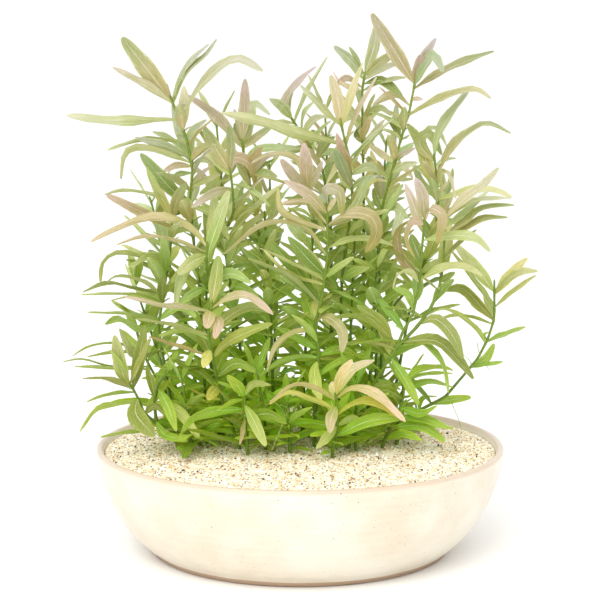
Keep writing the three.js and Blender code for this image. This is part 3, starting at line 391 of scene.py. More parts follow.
SHOOTS = {
    "tall_left": {
        "stem": [205, 545, 192, 440, 172, 330, 163, 245, 167, 205, 160, 168, 141, 120, 135, 100],
        "depth": [6, -2],
        "leaves": [
            [OLIVE, 22, 140, 118, 79, 41], [PINK, 11, 144, 124, 120, 107, 67, 78],
            [PALE, 7, 143, 118, 150, 100, 160, 78, 187, 49], [PALE, 5, 144, 122, 160, 85, 185, 62, 197, 43],
            [GOLD, 11, 153, 142, 165, 120, 185, 92, 222, 68, 254, 83],
            [PALE, 13, 152, 142, 70, 146, 10, 138], [GOLD, 14, 156, 155, 156, 101],
            [PALE, 12, 164, 190, 95, 165], [PALE, 6, 160, 170, 105, 169, 61, 181],
            [GREEN, 10, 166, 196, 100, 178, 85, 185, 78, 217], [PALE, 13, 163, 190, 152, 160, 142, 122],
            [GREEN, 9, 163, 184, 117, 158], [DEEP, 18, 163, 243, 147, 235, 102, 185],
            [GREEN, 11, 163, 250, 192, 262, 212, 292], [GREEN, 11, 170, 318, 140, 345],
        ],
    },
    "mid_left": {
        "stem": [150, 542, 134, 460, 124, 400, 130, 365, 139, 305, 143, 258],
        "depth": [-4, -12],
        "leaves": [
            [OLIVE, 12, 143, 266, 110, 202], [OLIVE, 14, 143, 264, 158, 222],
            [GREEN, 6, 144, 266, 130, 243, 85, 231, 57, 236], [PINK, 14, 143, 277, 125, 268, 60, 236],
            [GREEN, 8, 139, 302, 115, 292, 82, 262], [GREEN, 7, 139, 308, 112, 312, 78, 298],
            [GREEN, 7, 137, 325, 102, 313, 70, 310, 57, 320, 53, 345],
            [PALE, 10, 138, 320, 115, 311, 88, 325], [GREEN, 9, 132, 355, 100, 358, 83, 322],
            [OLIVE, 6, 130, 362, 100, 342, 70, 338, 60, 345],
            [DEEP, 6, 131, 358, 92, 352, 65, 346, 30, 357], [GREEN, 4, 130, 368, 92, 360, 28, 360],
            [GREEN, 6, 130, 372, 90, 363, 65, 367], [GREEN, 10, 126, 390, 105, 388, 66, 367],
            [GREEN, 10, 125, 397, 105, 402, 75, 388, 58, 397], [GREEN, 3, 126, 388, 85, 384, 37, 382],
            [DEEP, 10, 128, 428, 95, 440, 76, 402], [GREEN, 10, 130, 360, 152, 338, 172, 346],
            [GREEN, 11, 126, 392, 152, 374, 172, 388],
        ],
    },
    "inner_left": {
        "stem": [200, 546, 192, 470, 184, 400, 184, 345, 184, 315, 185, 296],
        "depth": [2, -22],
        "leaves": [
            [GREEN, 16, 184, 315, 190, 296, 212, 231], [PALE, 12, 184, 322, 162, 324, 150, 342, 145, 375],
            [PINK, 10, 185, 300, 160, 277, 125, 267, 100, 270, 40, 295],
            [PINK, 7, 184, 306, 140, 292, 110, 288, 72, 298], [PALE, 16, 184, 312, 148, 335],
            [GREEN, 11, 184, 350, 215, 334, 240, 346], [GREEN, 11, 184, 352, 150, 372],
        ],
    },
    "front_left": {
        "stem": [225, 550, 203, 490, 196, 460, 188, 425, 186, 405, 191, 368],
        "depth": [-26, -48],
        "leaves": [
            [OLIVE, 16, 190, 372, 199, 312], [PINK, 7, 189, 380, 160, 377, 130, 375, 80, 362],
            [PINK, 8, 190, 377, 215, 363, 235, 362, 267, 385], [PINK, 15, 189, 380, 184, 402],
            [PINK, 13, 188, 390, 199, 392, 194, 415], [OLIVE, 7, 186, 410, 150, 400, 97, 390],
            [BRONZE, 7, 190, 437, 150, 425, 112, 412], [GREEN, 10, 187, 414, 160, 405, 125, 412],
            [OLIVE, 12, 191, 440, 210, 420, 240, 405, 266, 396],
            [OLIVE, 12, 186, 412, 215, 385, 240, 375, 265, 383], [GOLD, 13, 188, 428, 180, 451],
            [GOLD, 14, 199, 474, 185, 491], [GOLD, 5, 203, 490, 185, 487, 160, 475],
            [DEEP, 12, 196, 462, 222, 445, 246, 456],
        ],
    },
    "low_left": {
        "stem": [178, 549, 150, 534, 120, 518, 107, 507, 100, 490, 92, 475, 86, 466],
        "depth": [-16, -34],
        "fork": [122, 519, 119, 492, 125, 470, 137, 455],
        "leaves": [
            [PALE, 17, 88, 474, 82, 462, 70, 410], [GREEN, 8, 87, 468, 63, 428],
            [DEEP, 16, 92, 478, 108, 397], [OLIVE, 7, 89, 470, 115, 415], [OLIVE, 9, 92, 477, 30, 464],
            [GREEN, 6, 94, 480, 60, 485, 35, 493], [GREEN, 9, 100, 492, 82, 495, 50, 502, 27, 530],
            [OLIVE, 24, 99, 488, 96, 506, 120, 536], [GREEN, 7, 115, 514, 104, 529, 80, 532, 52, 537],
            [GREEN, 9, 122, 519, 130, 532, 160, 542], [OLIVE, 9, 108, 508, 120, 498, 133, 509],
            [GREEN, 8, 136, 458, 148, 430], [DEEP, 10, 119, 488, 110, 447],
            [GREEN, 14, 124, 475, 137, 500, 147, 530], [PALE, 12, 120, 492, 146, 502, 175, 538],
        ],
    },
    "behind_low_left": {
        "stem": [165, 545, 138, 490, 114, 450, 102, 425, 97, 402],
        "depth": [-2, 4],
        "leaves": [
            [GREEN, 5, 103, 428, 68, 420, 40, 424, 17, 436], [GREEN, 5, 113, 448, 70, 450, 30, 440, 6, 443],
            [GREEN, 5, 114, 452, 68, 452, 20, 449], [GREEN, 4, 104, 431, 62, 433, 36, 437],
            [GREEN, 10, 98, 408, 82, 378], [GREEN, 10, 98, 408, 119, 380],
        ],
    },
    "back_left": {
        "stem": [262, 546, 258, 440, 256, 350, 250, 290, 243, 243, 233, 205, 228, 168],
        "depth": [22, 12],
        "leaves": [
            [PINK, 15, 229, 172, 232, 92], [PINK, 9, 228, 170, 218, 130],
            [PALE, 20, 230, 180, 234, 148, 241, 122, 263, 137], [PINK, 14, 230, 178, 200, 140, 160, 112],
            [PINK, 10, 236, 215, 258, 190, 280, 186], [GREEN, 10, 243, 245, 215, 234, 190, 246],
            [GREEN, 10, 245, 248, 278, 234], [GREEN, 10, 250, 290, 224, 274],
            [GREEN, 11, 253, 325, 226, 336, 212, 354], [GREEN, 11, 254, 330, 288, 346],
        ],
    },
    "centre_top": {
        "stem": [345, 546, 349, 440, 352, 340, 363, 255, 365, 235, 361, 190, 353, 158, 350, 142],
        "depth": [4, -4],
        "leaves": [
            [PALE, 16, 357, 175, 330, 169, 290, 161, 262, 150, 230, 142, 203, 135],
            [TAN, 15, 352, 155, 338, 88], [GOLD, 9, 352, 152, 320, 118, 300, 100],
            [GOLD, 10, 352, 152, 365, 110, 378, 72], [PINK, 5, 357, 174, 365, 150, 395, 90],
            [GREEN, 4, 360, 184, 345, 182, 335, 190], [GOLD, 8, 360, 186, 345, 200, 333, 222],
            [PALE, 10, 365, 226, 396, 212], [DEEP, 11, 364, 248, 334, 262],
            [GREEN, 11, 359, 285, 392, 268, 412, 280], [GREEN, 12, 352, 340, 386, 326],
        ],
    },
    "top_mid": {
        "stem": [330, 546, 339, 400, 338, 260, 328, 205, 311, 174, 288, 139],
        "depth": [30, 14],
        "leaves": [
            [PALE, 13, 289, 143, 262, 117], [GREEN, 6, 289, 142, 286, 130, 292, 105],
            [PINK, 9, 289, 143, 282, 122, 299, 97, 320, 77], [GREEN, 4, 291, 146, 310, 108, 334, 65],
            [GREEN, 4, 300, 160, 305, 135, 317, 121], [PALE, 8, 302, 162, 320, 142, 345, 141],
            [GREEN, 5, 293, 149, 266, 146], [PALE, 9, 311, 174, 290, 180, 272, 172],
            [GREEN, 10, 328, 206, 350, 196], [PINK, 10, 334, 240, 304, 212, 290, 215],
        ],
    },
    "top_centre": {
        "stem": [372, 546, 379, 400, 379, 250, 377, 105, 381, 84],
        "depth": [36, 22],
        "leaves": [
            [PALE, 15, 381, 87, 391, 55, 396, 20], [PALE, 12, 379, 93, 342, 52],
            [GREEN, 6, 380, 89, 361, 53], [GOLD, 13, 380, 89, 418, 60], [PALE, 8, 379, 93, 424, 73],
            [DEEP, 12, 378, 99, 400, 95, 427, 114], [PINK, 8, 377, 103, 358, 91, 343, 102],
            [PINK, 6, 377, 107, 352, 100, 341, 84], [GREEN, 6, 377, 107, 400, 97, 431, 91],
            [PALE, 10, 378, 140, 400, 128, 414, 138], [GREEN, 14, 379, 338, 402, 325, 432, 329],
            [GREEN, 11, 379, 205, 352, 200], [PALE, 9, 379, 252, 400, 246, 418, 250, 434, 266],
        ],
    },
    "top_right": {
        "stem": [392, 546, 398, 330, 400, 258, 412, 215, 425, 168, 436, 132, 443, 94],
        "depth": [12, 2],
        "leaves": [
            [TAN, 18, 442, 99, 420, 62, 400, 30, 389, 11], [PINK, 12, 442, 98, 469, 42],
            [PINK, 14, 442, 97, 450, 62], [PALE, 10, 442, 101, 455, 78, 466, 63, 478, 84],
            [OLIVE, 9, 441, 104, 541, 58], [GOLD, 8, 435, 137, 460, 125, 515, 107, 537, 117],
            [PINK, 10, 438, 126, 415, 113, 390, 125], [PINK, 6, 439, 118, 453, 118],
            [PALE, 10, 425, 170, 420, 122], [PINK, 4, 432, 145, 400, 130], [GREEN, 5, 426, 167, 400, 154],
            [GREEN, 10, 412, 215, 385, 200, 370, 210], [PALE, 10, 414, 210, 446, 196],
            [PALE, 13, 401, 256, 424, 256, 415, 288], [GREEN, 11, 399, 300, 428, 288],
        ],
    },
    "back_right": {
        "stem": [
            398, 546, 400, 470, 402, 410, 411, 381, 428, 360, 447, 338,
            457, 314, 466, 290, 472, 256, 470, 238, 469, 210, 466, 186,
        ],
        "depth": [27, 12],
        "leaves": [
            [OLIVE, 15, 470, 238, 447, 168, 433, 148], [PALE, 7, 467, 192, 452, 170, 465, 152, 482, 176],
            [OLIVE, 7, 469, 212, 490, 178, 510, 160, 530, 149, 562, 160],
            [GOLD, 5, 469, 212, 481, 206, 493, 241], [GOLD, 5, 470, 237, 484, 220],
            [PALE, 9, 472, 243, 520, 230, 545, 232, 563, 240], [PALE, 10, 467, 190, 474, 158, 512, 103],
            [GREEN, 10, 469, 276, 500, 268], [PALE, 10, 449, 335, 478, 314],
            [GREEN, 13, 411, 381, 413, 350, 419, 318],
        ],
    },
    "front_right": {
        "stem": [360, 548, 388, 475, 420, 425, 428, 405, 440, 385, 447, 350, 455, 262],
        "depth": [-24, -36],
        "fork": [420, 426, 445, 400, 460, 380, 472, 357, 478, 320, 480, 260],
        "leaves": [
            [PINK, 15, 454, 267, 443, 215], [PINK, 12, 454, 284, 430, 222],
            [ROSE, 13, 455, 268, 463, 253, 476, 262, 470, 297],
            [ROSE, 7, 454, 274, 437, 268, 430, 286, 434, 303, 442, 313],
            [BRONZE, 12, 449, 337, 434, 324, 422, 302, 423, 281, 437, 267],
            [PALE, 11, 453, 292, 500, 287, 520, 292, 536, 307], [DEEP, 14, 451, 318, 438, 285],
            [PALE, 8, 448, 342, 475, 328, 500, 325, 527, 337],
            [OLIVE, 12, 420, 424, 400, 400, 380, 386, 343, 387], [OLIVE, 16, 413, 437, 400, 395, 370, 373],
            [OLIVE, 5, 419, 427, 390, 420, 366, 420, 340, 430], [OLIVE, 6, 389, 474, 410, 472, 425, 478],
            [OLIVE, 13, 423, 418, 470, 418, 490, 435, 515, 465],
            [GREEN, 6, 421, 424, 450, 420, 475, 445, 484, 482], [GREEN, 12, 412, 437, 430, 465, 447, 497],
            [OLIVE, 15, 447, 398, 466, 390, 486, 406, 502, 440],
            [TAN, 10, 480, 266, 500, 245, 530, 222, 547, 203], [PALE, 5, 480, 266, 510, 245, 563, 240],
            [OLIVE, 7, 479, 288, 505, 270, 525, 255, 566, 249],
            [OLIVE, 7, 479, 292, 505, 278, 525, 266, 558, 264], [PALE, 7, 480, 276, 492, 268, 535, 230],
            [DEEP, 9, 475, 345, 492, 332], [PALE, 6, 448, 344, 432, 331, 420, 337, 415, 353],
            [GREEN, 10, 443, 380, 434, 360, 416, 352],
        ],
    },
    "right": {
        "stem": [420, 545, 445, 505, 480, 487, 520, 440, 533, 415, 541, 390, 541, 343],
        "depth": [-4, -8],
        "leaves": [
            [GOLD, 12, 542, 360, 582, 314], [PALE, 7, 542, 356, 560, 340, 575, 332, 595, 331],
            [PALE, 4, 543, 376, 560, 360, 593, 336], [PALE, 16, 542, 357, 525, 335, 493, 298],
            [GREEN, 6, 543, 374, 520, 350, 487, 305], [OLIVE, 14, 540, 392, 525, 375, 500, 352, 478, 355],
            [PALE, 12, 540, 392, 528, 358], [GREEN, 4, 539, 395, 500, 386, 465, 392],
            [GREEN, 5, 531, 420, 515, 400, 480, 378, 466, 381], [GREEN, 4, 532, 418, 560, 408, 580, 400],
            [GREEN, 12, 514, 452, 530, 440, 541, 421], [GREEN, 4, 516, 448, 535, 446, 552, 443],
            [GREEN, 9, 462, 496, 480, 492, 512, 487],
        ],
    },
    "low_right": {
        "stem": [402, 548, 418, 515, 428, 490, 430, 462],
        "depth": [-20, -30],
        "leaves": [
            [GREEN, 5, 430, 470, 446, 455, 474, 451, 490, 454], [GREEN, 5, 429, 478, 460, 468, 490, 475],
            [GREEN, 9, 419, 513, 450, 513, 483, 525], [GREEN, 11, 413, 526, 450, 523, 480, 542],
            [GREEN, 8, 406, 539, 430, 533, 452, 541], [GREEN, 9, 425, 500, 452, 508, 470, 498],
            [DEEP, 12, 428, 490, 405, 478, 384, 486], [GREEN, 12, 418, 515, 390, 505, 370, 516],
        ],
    },
    "front_centre": {
        "stem": [340, 550, 346, 526, 346, 508, 344, 482],
        "depth": [-44, -56],
        "leaves": [
            [CREAM, 8, 345, 490, 320, 478, 295, 472, 262, 493],
            [GOLD, 8, 346, 502, 310, 490, 285, 483, 262, 496],
            [CREAM, 9, 345, 488, 365, 477, 390, 482, 431, 518],
            [GOLD, 8, 346, 508, 365, 497, 385, 492, 430, 515], [CREAM, 11, 344, 484, 352, 458, 365, 441],
            [CREAM, 12, 344, 486, 362, 455, 393, 441], [PINK, 14, 345, 498, 338, 515, 337, 532],
            [CREAM, 13, 344, 487, 339, 468], [PALE, 12, 346, 522, 330, 540, 320, 551],
            [GREEN, 14, 344, 534, 385, 517, 430, 513], [PALE, 8, 346, 522, 365, 513, 378, 516],
            [GREEN, 13, 346, 524, 320, 520, 278, 516],
        ],
    },
    "centre": {
        "stem": [318, 548, 320, 450, 324, 432, 318, 398, 327, 365, 334, 312, 334, 243],
        "depth": [-22, -28],
        "leaves": [
            [ROSE, 14, 334, 249, 333, 229, 348, 232, 352, 262], [CREAM, 6, 334, 258, 346, 239],
            [PINK, 8, 333, 272, 308, 247, 276, 248], [PINK, 14, 333, 260, 310, 235, 280, 218],
            [BRONZE, 10, 333, 280, 300, 270, 276, 256, 272, 225],
            [PINK, 8, 334, 312, 305, 277, 262, 272, 205, 310],
            [BRONZE, 13, 333, 274, 360, 259, 391, 266, 394, 288, 381, 308],
            [OLIVE, 12, 333, 276, 362, 262, 386, 212], [PALE, 6, 334, 302, 360, 292, 385, 291, 420, 300],
            [GREEN, 7, 333, 340, 350, 325, 367, 314], [DEEP, 16, 327, 368, 300, 335, 262, 293],
            [DEEP, 9, 326, 372, 290, 340, 235, 315], [DEEP, 16, 333, 336, 312, 318, 285, 288],
            [PALE, 4, 332, 342, 280, 317, 250, 302], [GOLD, 8, 331, 348, 285, 335, 255, 305],
            [PALE, 6, 320, 392, 300, 383, 272, 394], [CREAM, 9, 318, 404, 292, 408, 272, 424, 259, 455],
            [TAN, 13, 319, 394, 332, 387, 352, 405, 352, 432], [GREEN, 10, 322, 420, 290, 385],
            [GREEN, 12, 323, 428, 300, 415, 270, 400], [GREEN, 10, 323, 438, 300, 437, 265, 450, 243, 468],
            [GREEN, 8, 323, 436, 350, 429, 378, 440], [OLIVE, 6, 323, 440, 345, 437, 367, 441],
            [PALE, 15, 321, 442, 318, 455, 325, 497],
        ],
    },
    "centre_left": {
        "stem": [303, 546, 306, 440, 313, 330, 317, 272, 309, 226],
        "depth": [8, -8],
        "leaves": [
            [PINK, 17, 309, 230, 305, 172], [PINK, 14, 310, 236, 276, 192], [PINK, 8, 310, 233, 328, 195],
            [PINK, 8, 309, 228, 294, 192, 262, 187, 240, 197], [OLIVE, 12, 316, 262, 344, 248],
            [DEEP, 14, 316, 290, 352, 292], [DEEP, 14, 313, 330, 284, 352], [DEEP, 14, 312, 336, 346, 352],
            [PALE, 14, 308, 412, 272, 424], [DEEP, 14, 307, 420, 340, 412],
        ],
    },
    "inner_upper_left": {
        "stem": [240, 546, 228, 440, 214, 350, 205, 292, 218, 255, 216, 225, 212, 198],
        "depth": [12, -6],
        "leaves": [
            [OLIVE, 16, 213, 208, 180, 150], [PALE, 14, 214, 213, 172, 172],
            [OLIVE, 12, 213, 203, 212, 150], [ROSE, 13, 213, 208, 218, 190, 236, 196, 247, 231],
            [GREEN, 5, 216, 222, 235, 228, 262, 250], [PINK, 12, 217, 228, 190, 235, 165, 252],
            [PALE, 9, 206, 300, 265, 255], [PALE, 6, 207, 296, 236, 262, 280, 222],
            [GREEN, 12, 214, 350, 248, 362], [DEEP, 13, 228, 440, 256, 424], [DEEP, 13, 228, 442, 202, 424],
        ],
    },
    "front_small_left": {
        "stem": [235, 550, 232, 515, 231, 482],
        "depth": [-40, -50],
        "leaves": [
            [GREEN, 13, 231, 488, 210, 460], [PALE, 8, 231, 486, 240, 472, 264, 472],
            [GREEN, 7, 231, 490, 210, 495, 198, 504], [GREEN, 14, 232, 502, 190, 505, 165, 515, 152, 533],
            [PALE, 14, 231, 496, 242, 515, 258, 548], [PINK, 6, 232, 512, 229, 525, 225, 546],
            [DEEP, 13, 232, 514, 262, 508, 284, 520],
        ],
    },
}

# Shoots whose leaves stand mostly high in the thicket
UPPER_SHOOTS = {
    "tall_left", "front_left", "top_mid", "top_right", "front_centre", "centre", "centre_left", "back_left",
    "back_right", "front_right", "centre_top", "inner_upper_left",
}

# Finer leaves that the view shows between the larger ones, told in the same way

FINE_LEAVES = {
    "tall_left": [
        [PALE, 13, 162, 196, 166, 160, 184, 143], [PALE, 9, 157, 197, 157, 177, 167, 176],
        [GREEN, 3, 166, 196, 170, 190, 178, 186], [GREEN, 3, 159, 163, 165, 160, 171, 157],
        [GREEN, 3, 160, 162, 152, 160, 146, 160], [PINK, 9, 164, 202, 148, 199, 131, 207],
        [PALE, 8, 166, 198, 180, 192, 196, 200], [PINK, 6, 166, 222, 180, 208, 190, 201],
        [PALE, 8, 165, 226, 185, 217, 201, 211], [GREEN, 8, 166, 208, 150, 210, 138, 222],
    ],
    "mid_left": [
        [PINK, 9, 143, 266, 134, 246, 127, 227], [DEEP, 8, 143, 262, 156, 256, 166, 268],
        [PALE, 11, 143, 258, 158, 244, 172, 268], [GREEN, 8, 141, 285, 158, 278, 172, 284],
    ],
    "inner_left": [
        [OLIVE, 13, 187, 292, 193, 262, 194, 229], [DEEP, 11, 185, 298, 186, 275, 182, 250],
        [GREEN, 10, 185, 300, 198, 290, 212, 276], [PALE, 8, 184, 318, 168, 306, 152, 300],
    ],
    "inner_upper_left": [
        [GREEN, 7, 214, 216, 195, 222, 176, 236], [GOLD, 9, 217, 262, 228, 245, 240, 230],
        [DEEP, 6, 218, 262, 224, 243, 229, 226], [GREEN, 4, 216, 243, 232, 243, 252, 250],
        [GREEN, 10, 208, 300, 225, 285, 248, 274], [PALE, 8, 210, 320, 228, 300, 250, 296],
    ],
    "back_left": [
        [GREEN, 9, 230, 192, 245, 181, 275, 178, 305, 179], [OLIVE, 10, 229, 180, 245, 166, 268, 149],
        [DEEP, 5, 240, 215, 252, 202, 268, 192], [DEEP, 9, 229, 171, 222, 160, 219, 147],
        [OLIVE, 9, 229, 171, 236, 160, 240, 147], [OLIVE, 11, 246, 275, 267, 262, 271, 226],
        [GREEN, 7, 243, 250, 248, 232, 250, 213], [PALE, 10, 236, 214, 254, 208, 272, 214],
        [GREEN, 9, 248, 285, 262, 276, 280, 282],
    ],
    "centre_left": [
        [PALE, 4, 309, 232, 280, 221, 243, 211], [PALE, 13, 313, 300, 298, 284, 281, 262],
        [GREEN, 5, 316, 266, 304, 257, 284, 254], [GREEN, 9, 315, 288, 311, 272, 302, 261],
        [PALE, 9, 312, 335, 302, 318, 296, 303], [GREEN, 8, 311, 228, 296, 240, 280, 240],
    ],
    "top_mid": [
        [PALE, 9, 330, 218, 312, 200, 290, 196], [GREEN, 9, 334, 240, 348, 226, 366, 222],
        [GREEN, 8, 320, 192, 336, 182, 352, 184],
    ],
    "centre": [
        [PALE, 12, 333, 345, 322, 325, 309, 303], [OLIVE, 8, 320, 398, 334, 372, 362, 354],
        [GOLD, 8, 318, 392, 320, 372, 341, 358],
    ],
    "centre_top": [
        [PALE, 4, 363, 202, 384, 170, 416, 142], [PALE, 10, 364, 212, 385, 202, 408, 216],
        [PALE, 12, 364, 232, 354, 214, 350, 200], [PALE, 14, 352, 345, 352, 312, 357, 279],
    ],
    "top_centre": [
        [GREEN, 13, 378, 150, 368, 137, 350, 146], [DEEP, 10, 379, 146, 369, 160, 393, 177],
        [PALE, 10, 379, 152, 388, 138, 400, 127], [PALE, 9, 378, 146, 362, 128, 349, 110],
        [GOLD, 10, 379, 218, 391, 203, 388, 181],
    ],
    "top_right": [
        [DEEP, 6, 423, 166, 418, 154, 410, 144], [GREEN, 3, 425, 168, 430, 166, 436, 162],
        [GREEN, 6, 418, 195, 428, 186, 441, 174], [PINK, 6, 420, 193, 432, 184, 443, 178],
        [CREAM, 9, 419, 196, 402, 186, 383, 172], [CREAM, 7, 419, 196, 430, 204, 440, 216],
        [PALE, 8, 416, 198, 416, 178, 418, 155], [PALE, 9, 411, 222, 420, 208, 424, 192],
        [GREEN, 9, 403, 250, 412, 234, 424, 222], [DEEP, 8, 401, 256, 394, 242, 391, 228],
        [PINK, 5, 411, 219, 398, 219, 385, 220], [PALE, 5, 411, 219, 428, 218, 440, 217],
        [PALE, 8, 397, 368, 380, 354, 350, 351], [GREEN, 9, 401, 256, 406, 264, 402, 285],
    ],
    "back_right": [
        [OLIVE, 13, 467, 196, 448, 172, 458, 160, 476, 187], [PALE, 10, 470, 240, 452, 222, 440, 196],
        [PALE, 5, 469, 200, 480, 193, 494, 191], [PALE, 9, 469, 228, 474, 208, 488, 209],
    ],
    "low_left": [
        [GREEN, 8, 119, 490, 128, 460, 146, 433], [GREEN, 9, 122, 519, 150, 522, 176, 512],
    ],
    "behind_low_left": [
        [GREEN, 12, 104, 436, 92, 420, 79, 404], [GREEN, 9, 110, 444, 122, 425, 134, 412],
        [PALE, 11, 120, 462, 150, 458, 176, 452],
    ],
    "right": [
        [GREEN, 4, 447, 504, 452, 489, 470, 486], [GREEN, 3, 445, 505, 440, 484, 432, 488],
        [GREEN, 4, 532, 417, 528, 410, 535, 406],
    ],
}

# Fine pale threads: roots that hang from a stem's nodes, and a young runner that comes up through the
# sand. Each has its depth in millimetres, its thickness as a share of a stem's, and its squares.

THREAD_TINT = (0.26, 0.38, 0.06)
THREADS = {
    "right": [
        (-6, 0.22, [484, 487, 489, 496, 493, 506, 497, 515, 499, 522, 500, 531]),
        (-7, 0.22, [520, 421, 521, 428, 523, 434, 526, 440, 530, 447, 534, 452]),
        (-6, 0.22, [514, 450, 511, 443, 508, 439, 504, 436, 500, 433]),
    ],
    "low_right": [(-34, 0.25, [412, 478, 414, 484, 419, 491, 424, 499, 427, 509])],
    "front_small_left": [
        (-50, 0.50, [266, 552, 270, 540, 275, 529, 279, 519, 281, 510, 278, 502, 271, 495, 262, 491]),
        (-50, 0.30, [281, 511, 286, 505, 283, 499, 275, 497]),
        (-50, 0.25, [251, 518, 252, 506, 257, 498, 264, 493, 271, 495]),
    ],
}

# How far a leaf may swing in depth and shorten to pass its neighbours, best first
SWINGS = [
    [1, 1], [-1, 1], [0.5, 1], [-0.5, 1], [0, 1], [1.4, 1], [-1.4, 1], [0.75, 1], [-0.75, 1],
    [1, 0.8], [-1, 0.8], [0, 0.8], [0.5, 0.8], [-0.5, 0.8], [1, 0.6], [-1, 0.6], [0, 0.6],
]

COLLAR = 0.002  # height of a stem's foot above the sand
ROOTED = 0.008  # depth of its root below its foot
FORK_COLLAR = 0.12  # a fork's foot, as a share of its first stretch
FORK_LEAN = 0.3  # in depth, as a share of its stem's
FIRST_FINE = 50  # number of a shoot's first finer leaf
FULL_LEAF = 0.038
SLENDERNESS = 0.19  # least width of a leaf as a share of its length
ARCHED_SLENDERNESS = 0.22  # width of a leaf that isn't read
STAGGER = 0.0004  # in height, of leaves that grow from one joint
HANGS_BELOW = 5  # squares from its base down to the tip of a leaf that hangs
HIDDEN_LEAN = 0.7  # how far a leaf leans in depth, as a share of the length that is hidden
SEEN_LEAN = 0.15  # and as a share of the length that is seen
MOST_LEAN = 0.85
BOW = 0.06  # as a share of the length
SWAY = 0.04
SAME_CORNER = 0.00013  # distance up to which two corners are one
UP = np.array([0.0, 0.0, 1.0])
AWAY = np.array([0.0, 1.0, 0.0])


def scatter(first, second):
    """Repeatable scatter between -1 and 1: the fraction of a stretched sine of the two numbers."""
    return 2 * (math.sin(first * 12.9898 + second * 78.233) * 43758.5453 % 1.0) - 1


def spot(column, row, depth):
    """Where a square of the front view stands at a depth: on the eye's ray through it, at that depth."""
    across = (column - MIDDLE_COLUMN) * SQUARE
    up = (GROUND_ROW - row) * SQUARE + (SAND_TOP - EYE_AIM) * math.cos(EYE_TILT)
    level = EYE_DISTANCE * math.cos(EYE_TILT)
    rise = EYE_DISTANCE * math.sin(EYE_TILT)
    reach = (depth + level) / (level + up * math.sin(EYE_TILT))
    return np.array([across * reach, depth, EYE_AIM + rise + reach * (up * math.cos(EYE_TILT) - rise)])


def unit(vectors):
    """Each vector divided by its length."""
    return vectors / np.linalg.norm(vectors, axis=-1, keepdims=True)


def heading_out(heading):
    """The level direction of a heading in degrees."""
    return np.array([math.cos(math.radians(heading)), math.sin(math.radians(heading)), 0])


def at_shares(path, shares):
    """Points of a polyline at shares of its whole length."""
    run = np.concatenate([[0], np.cumsum(np.linalg.norm(np.diff(path, axis=0), axis=1))])
    return np.stack([np.interp(np.asarray(shares) * run[-1], run, path[:, k]) for k in range(3)], axis=-1)


def through(knots, shares):
    """Points of a centripetal Catmull-Rom curve through the knots, at shares of its length.

    Each span is the cubic through its two knots whose end slopes come from the neighbouring knots,
    spaced by the square root of their distances. Beyond each end, its span is mirrored."""
    knots = np.array(knots, float)
    padded = np.vstack([2 * knots[0] - knots[1], knots, 2 * knots[-1] - knots[-2]])
    gap = np.sqrt(np.linalg.norm(np.diff(padded, axis=0), axis=1))
    at = np.linspace(0, len(knots) - 1, 201)
    span = np.minimum(at.astype(int), len(knots) - 2)
    x = [padded[span + k] for k in range(4)]
    d = [gap[span + k][:, None] for k in range(3)]
    step = [(x[k + 1] - x[k]) / d[k] for k in range(3)]
    slope = [d[1] * (step[k] - (x[k + 2] - x[k]) / (d[k] + d[k + 1]) + step[k + 1]) for k in range(2)]
    w = (at - span)[:, None]
    rise = x[2] - x[1]
    square = 3 * rise - 2 * slope[0] - slope[1]
    cube = slope[0] + slope[1] - 2 * rise
    return at_shares(x[1] + slope[0] * w + square * w**2 + cube * w**3, shares)


def stem_path(numbers, depths):
    """Squares and points of a stem, its depth running evenly along it from the first to the last."""
    squares = np.array(numbers, float).reshape(-1, 2)
    run = np.concatenate([[0], np.cumsum(np.hypot(*np.diff(squares, axis=0).T))])
    depth = 0.001 * np.interp(run / run[-1], [0, 1], depths)
    points = [spot(column, row, y) for (column, row), y in zip(squares, depth)]
    return squares, np.array(points)


def nearest(squares, column, row):
    """How far a stem passes from a square, and where, as a share counted in its stretches."""
    best = (math.inf, 0)
    for i in range(len(squares) - 1):
        step = squares[i + 1] - squares[i]
        along = np.clip(np.dot((column, row) - squares[i], step) / np.dot(step, step), 0, 1)
        gap = np.linalg.norm(squares[i] + along * step - (column, row))
        if gap < best[0]:
            best = (gap, i + along)
    return best


def on_stem(points, share):
    """The point of a stem at a share counted in its stretches."""
    i = min(int(share), len(points) - 2)
    return points[i] + (points[i + 1] - points[i]) * (share - i)


def standing_leaf(choices, corners):
    """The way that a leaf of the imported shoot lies: the choice whose tip is a corner of its solid."""
    for choice in choices:
        if np.min(np.linalg.norm(corners - choice["knots"][-1], axis=1)) < SAME_CORNER:
            return choice
    return choices[0]


def bowed(base, tip, number):
    """Middle of a leaf that is read by its ends alone: it arches up a little."""
    length = np.linalg.norm(tip - base)
    lift = BOW * length * (1 + 0.5 * scatter(number, 3))
    return (base + tip) / 2 + lift * UP + np.array([SWAY * length * scatter(number, 5), 0, 0])


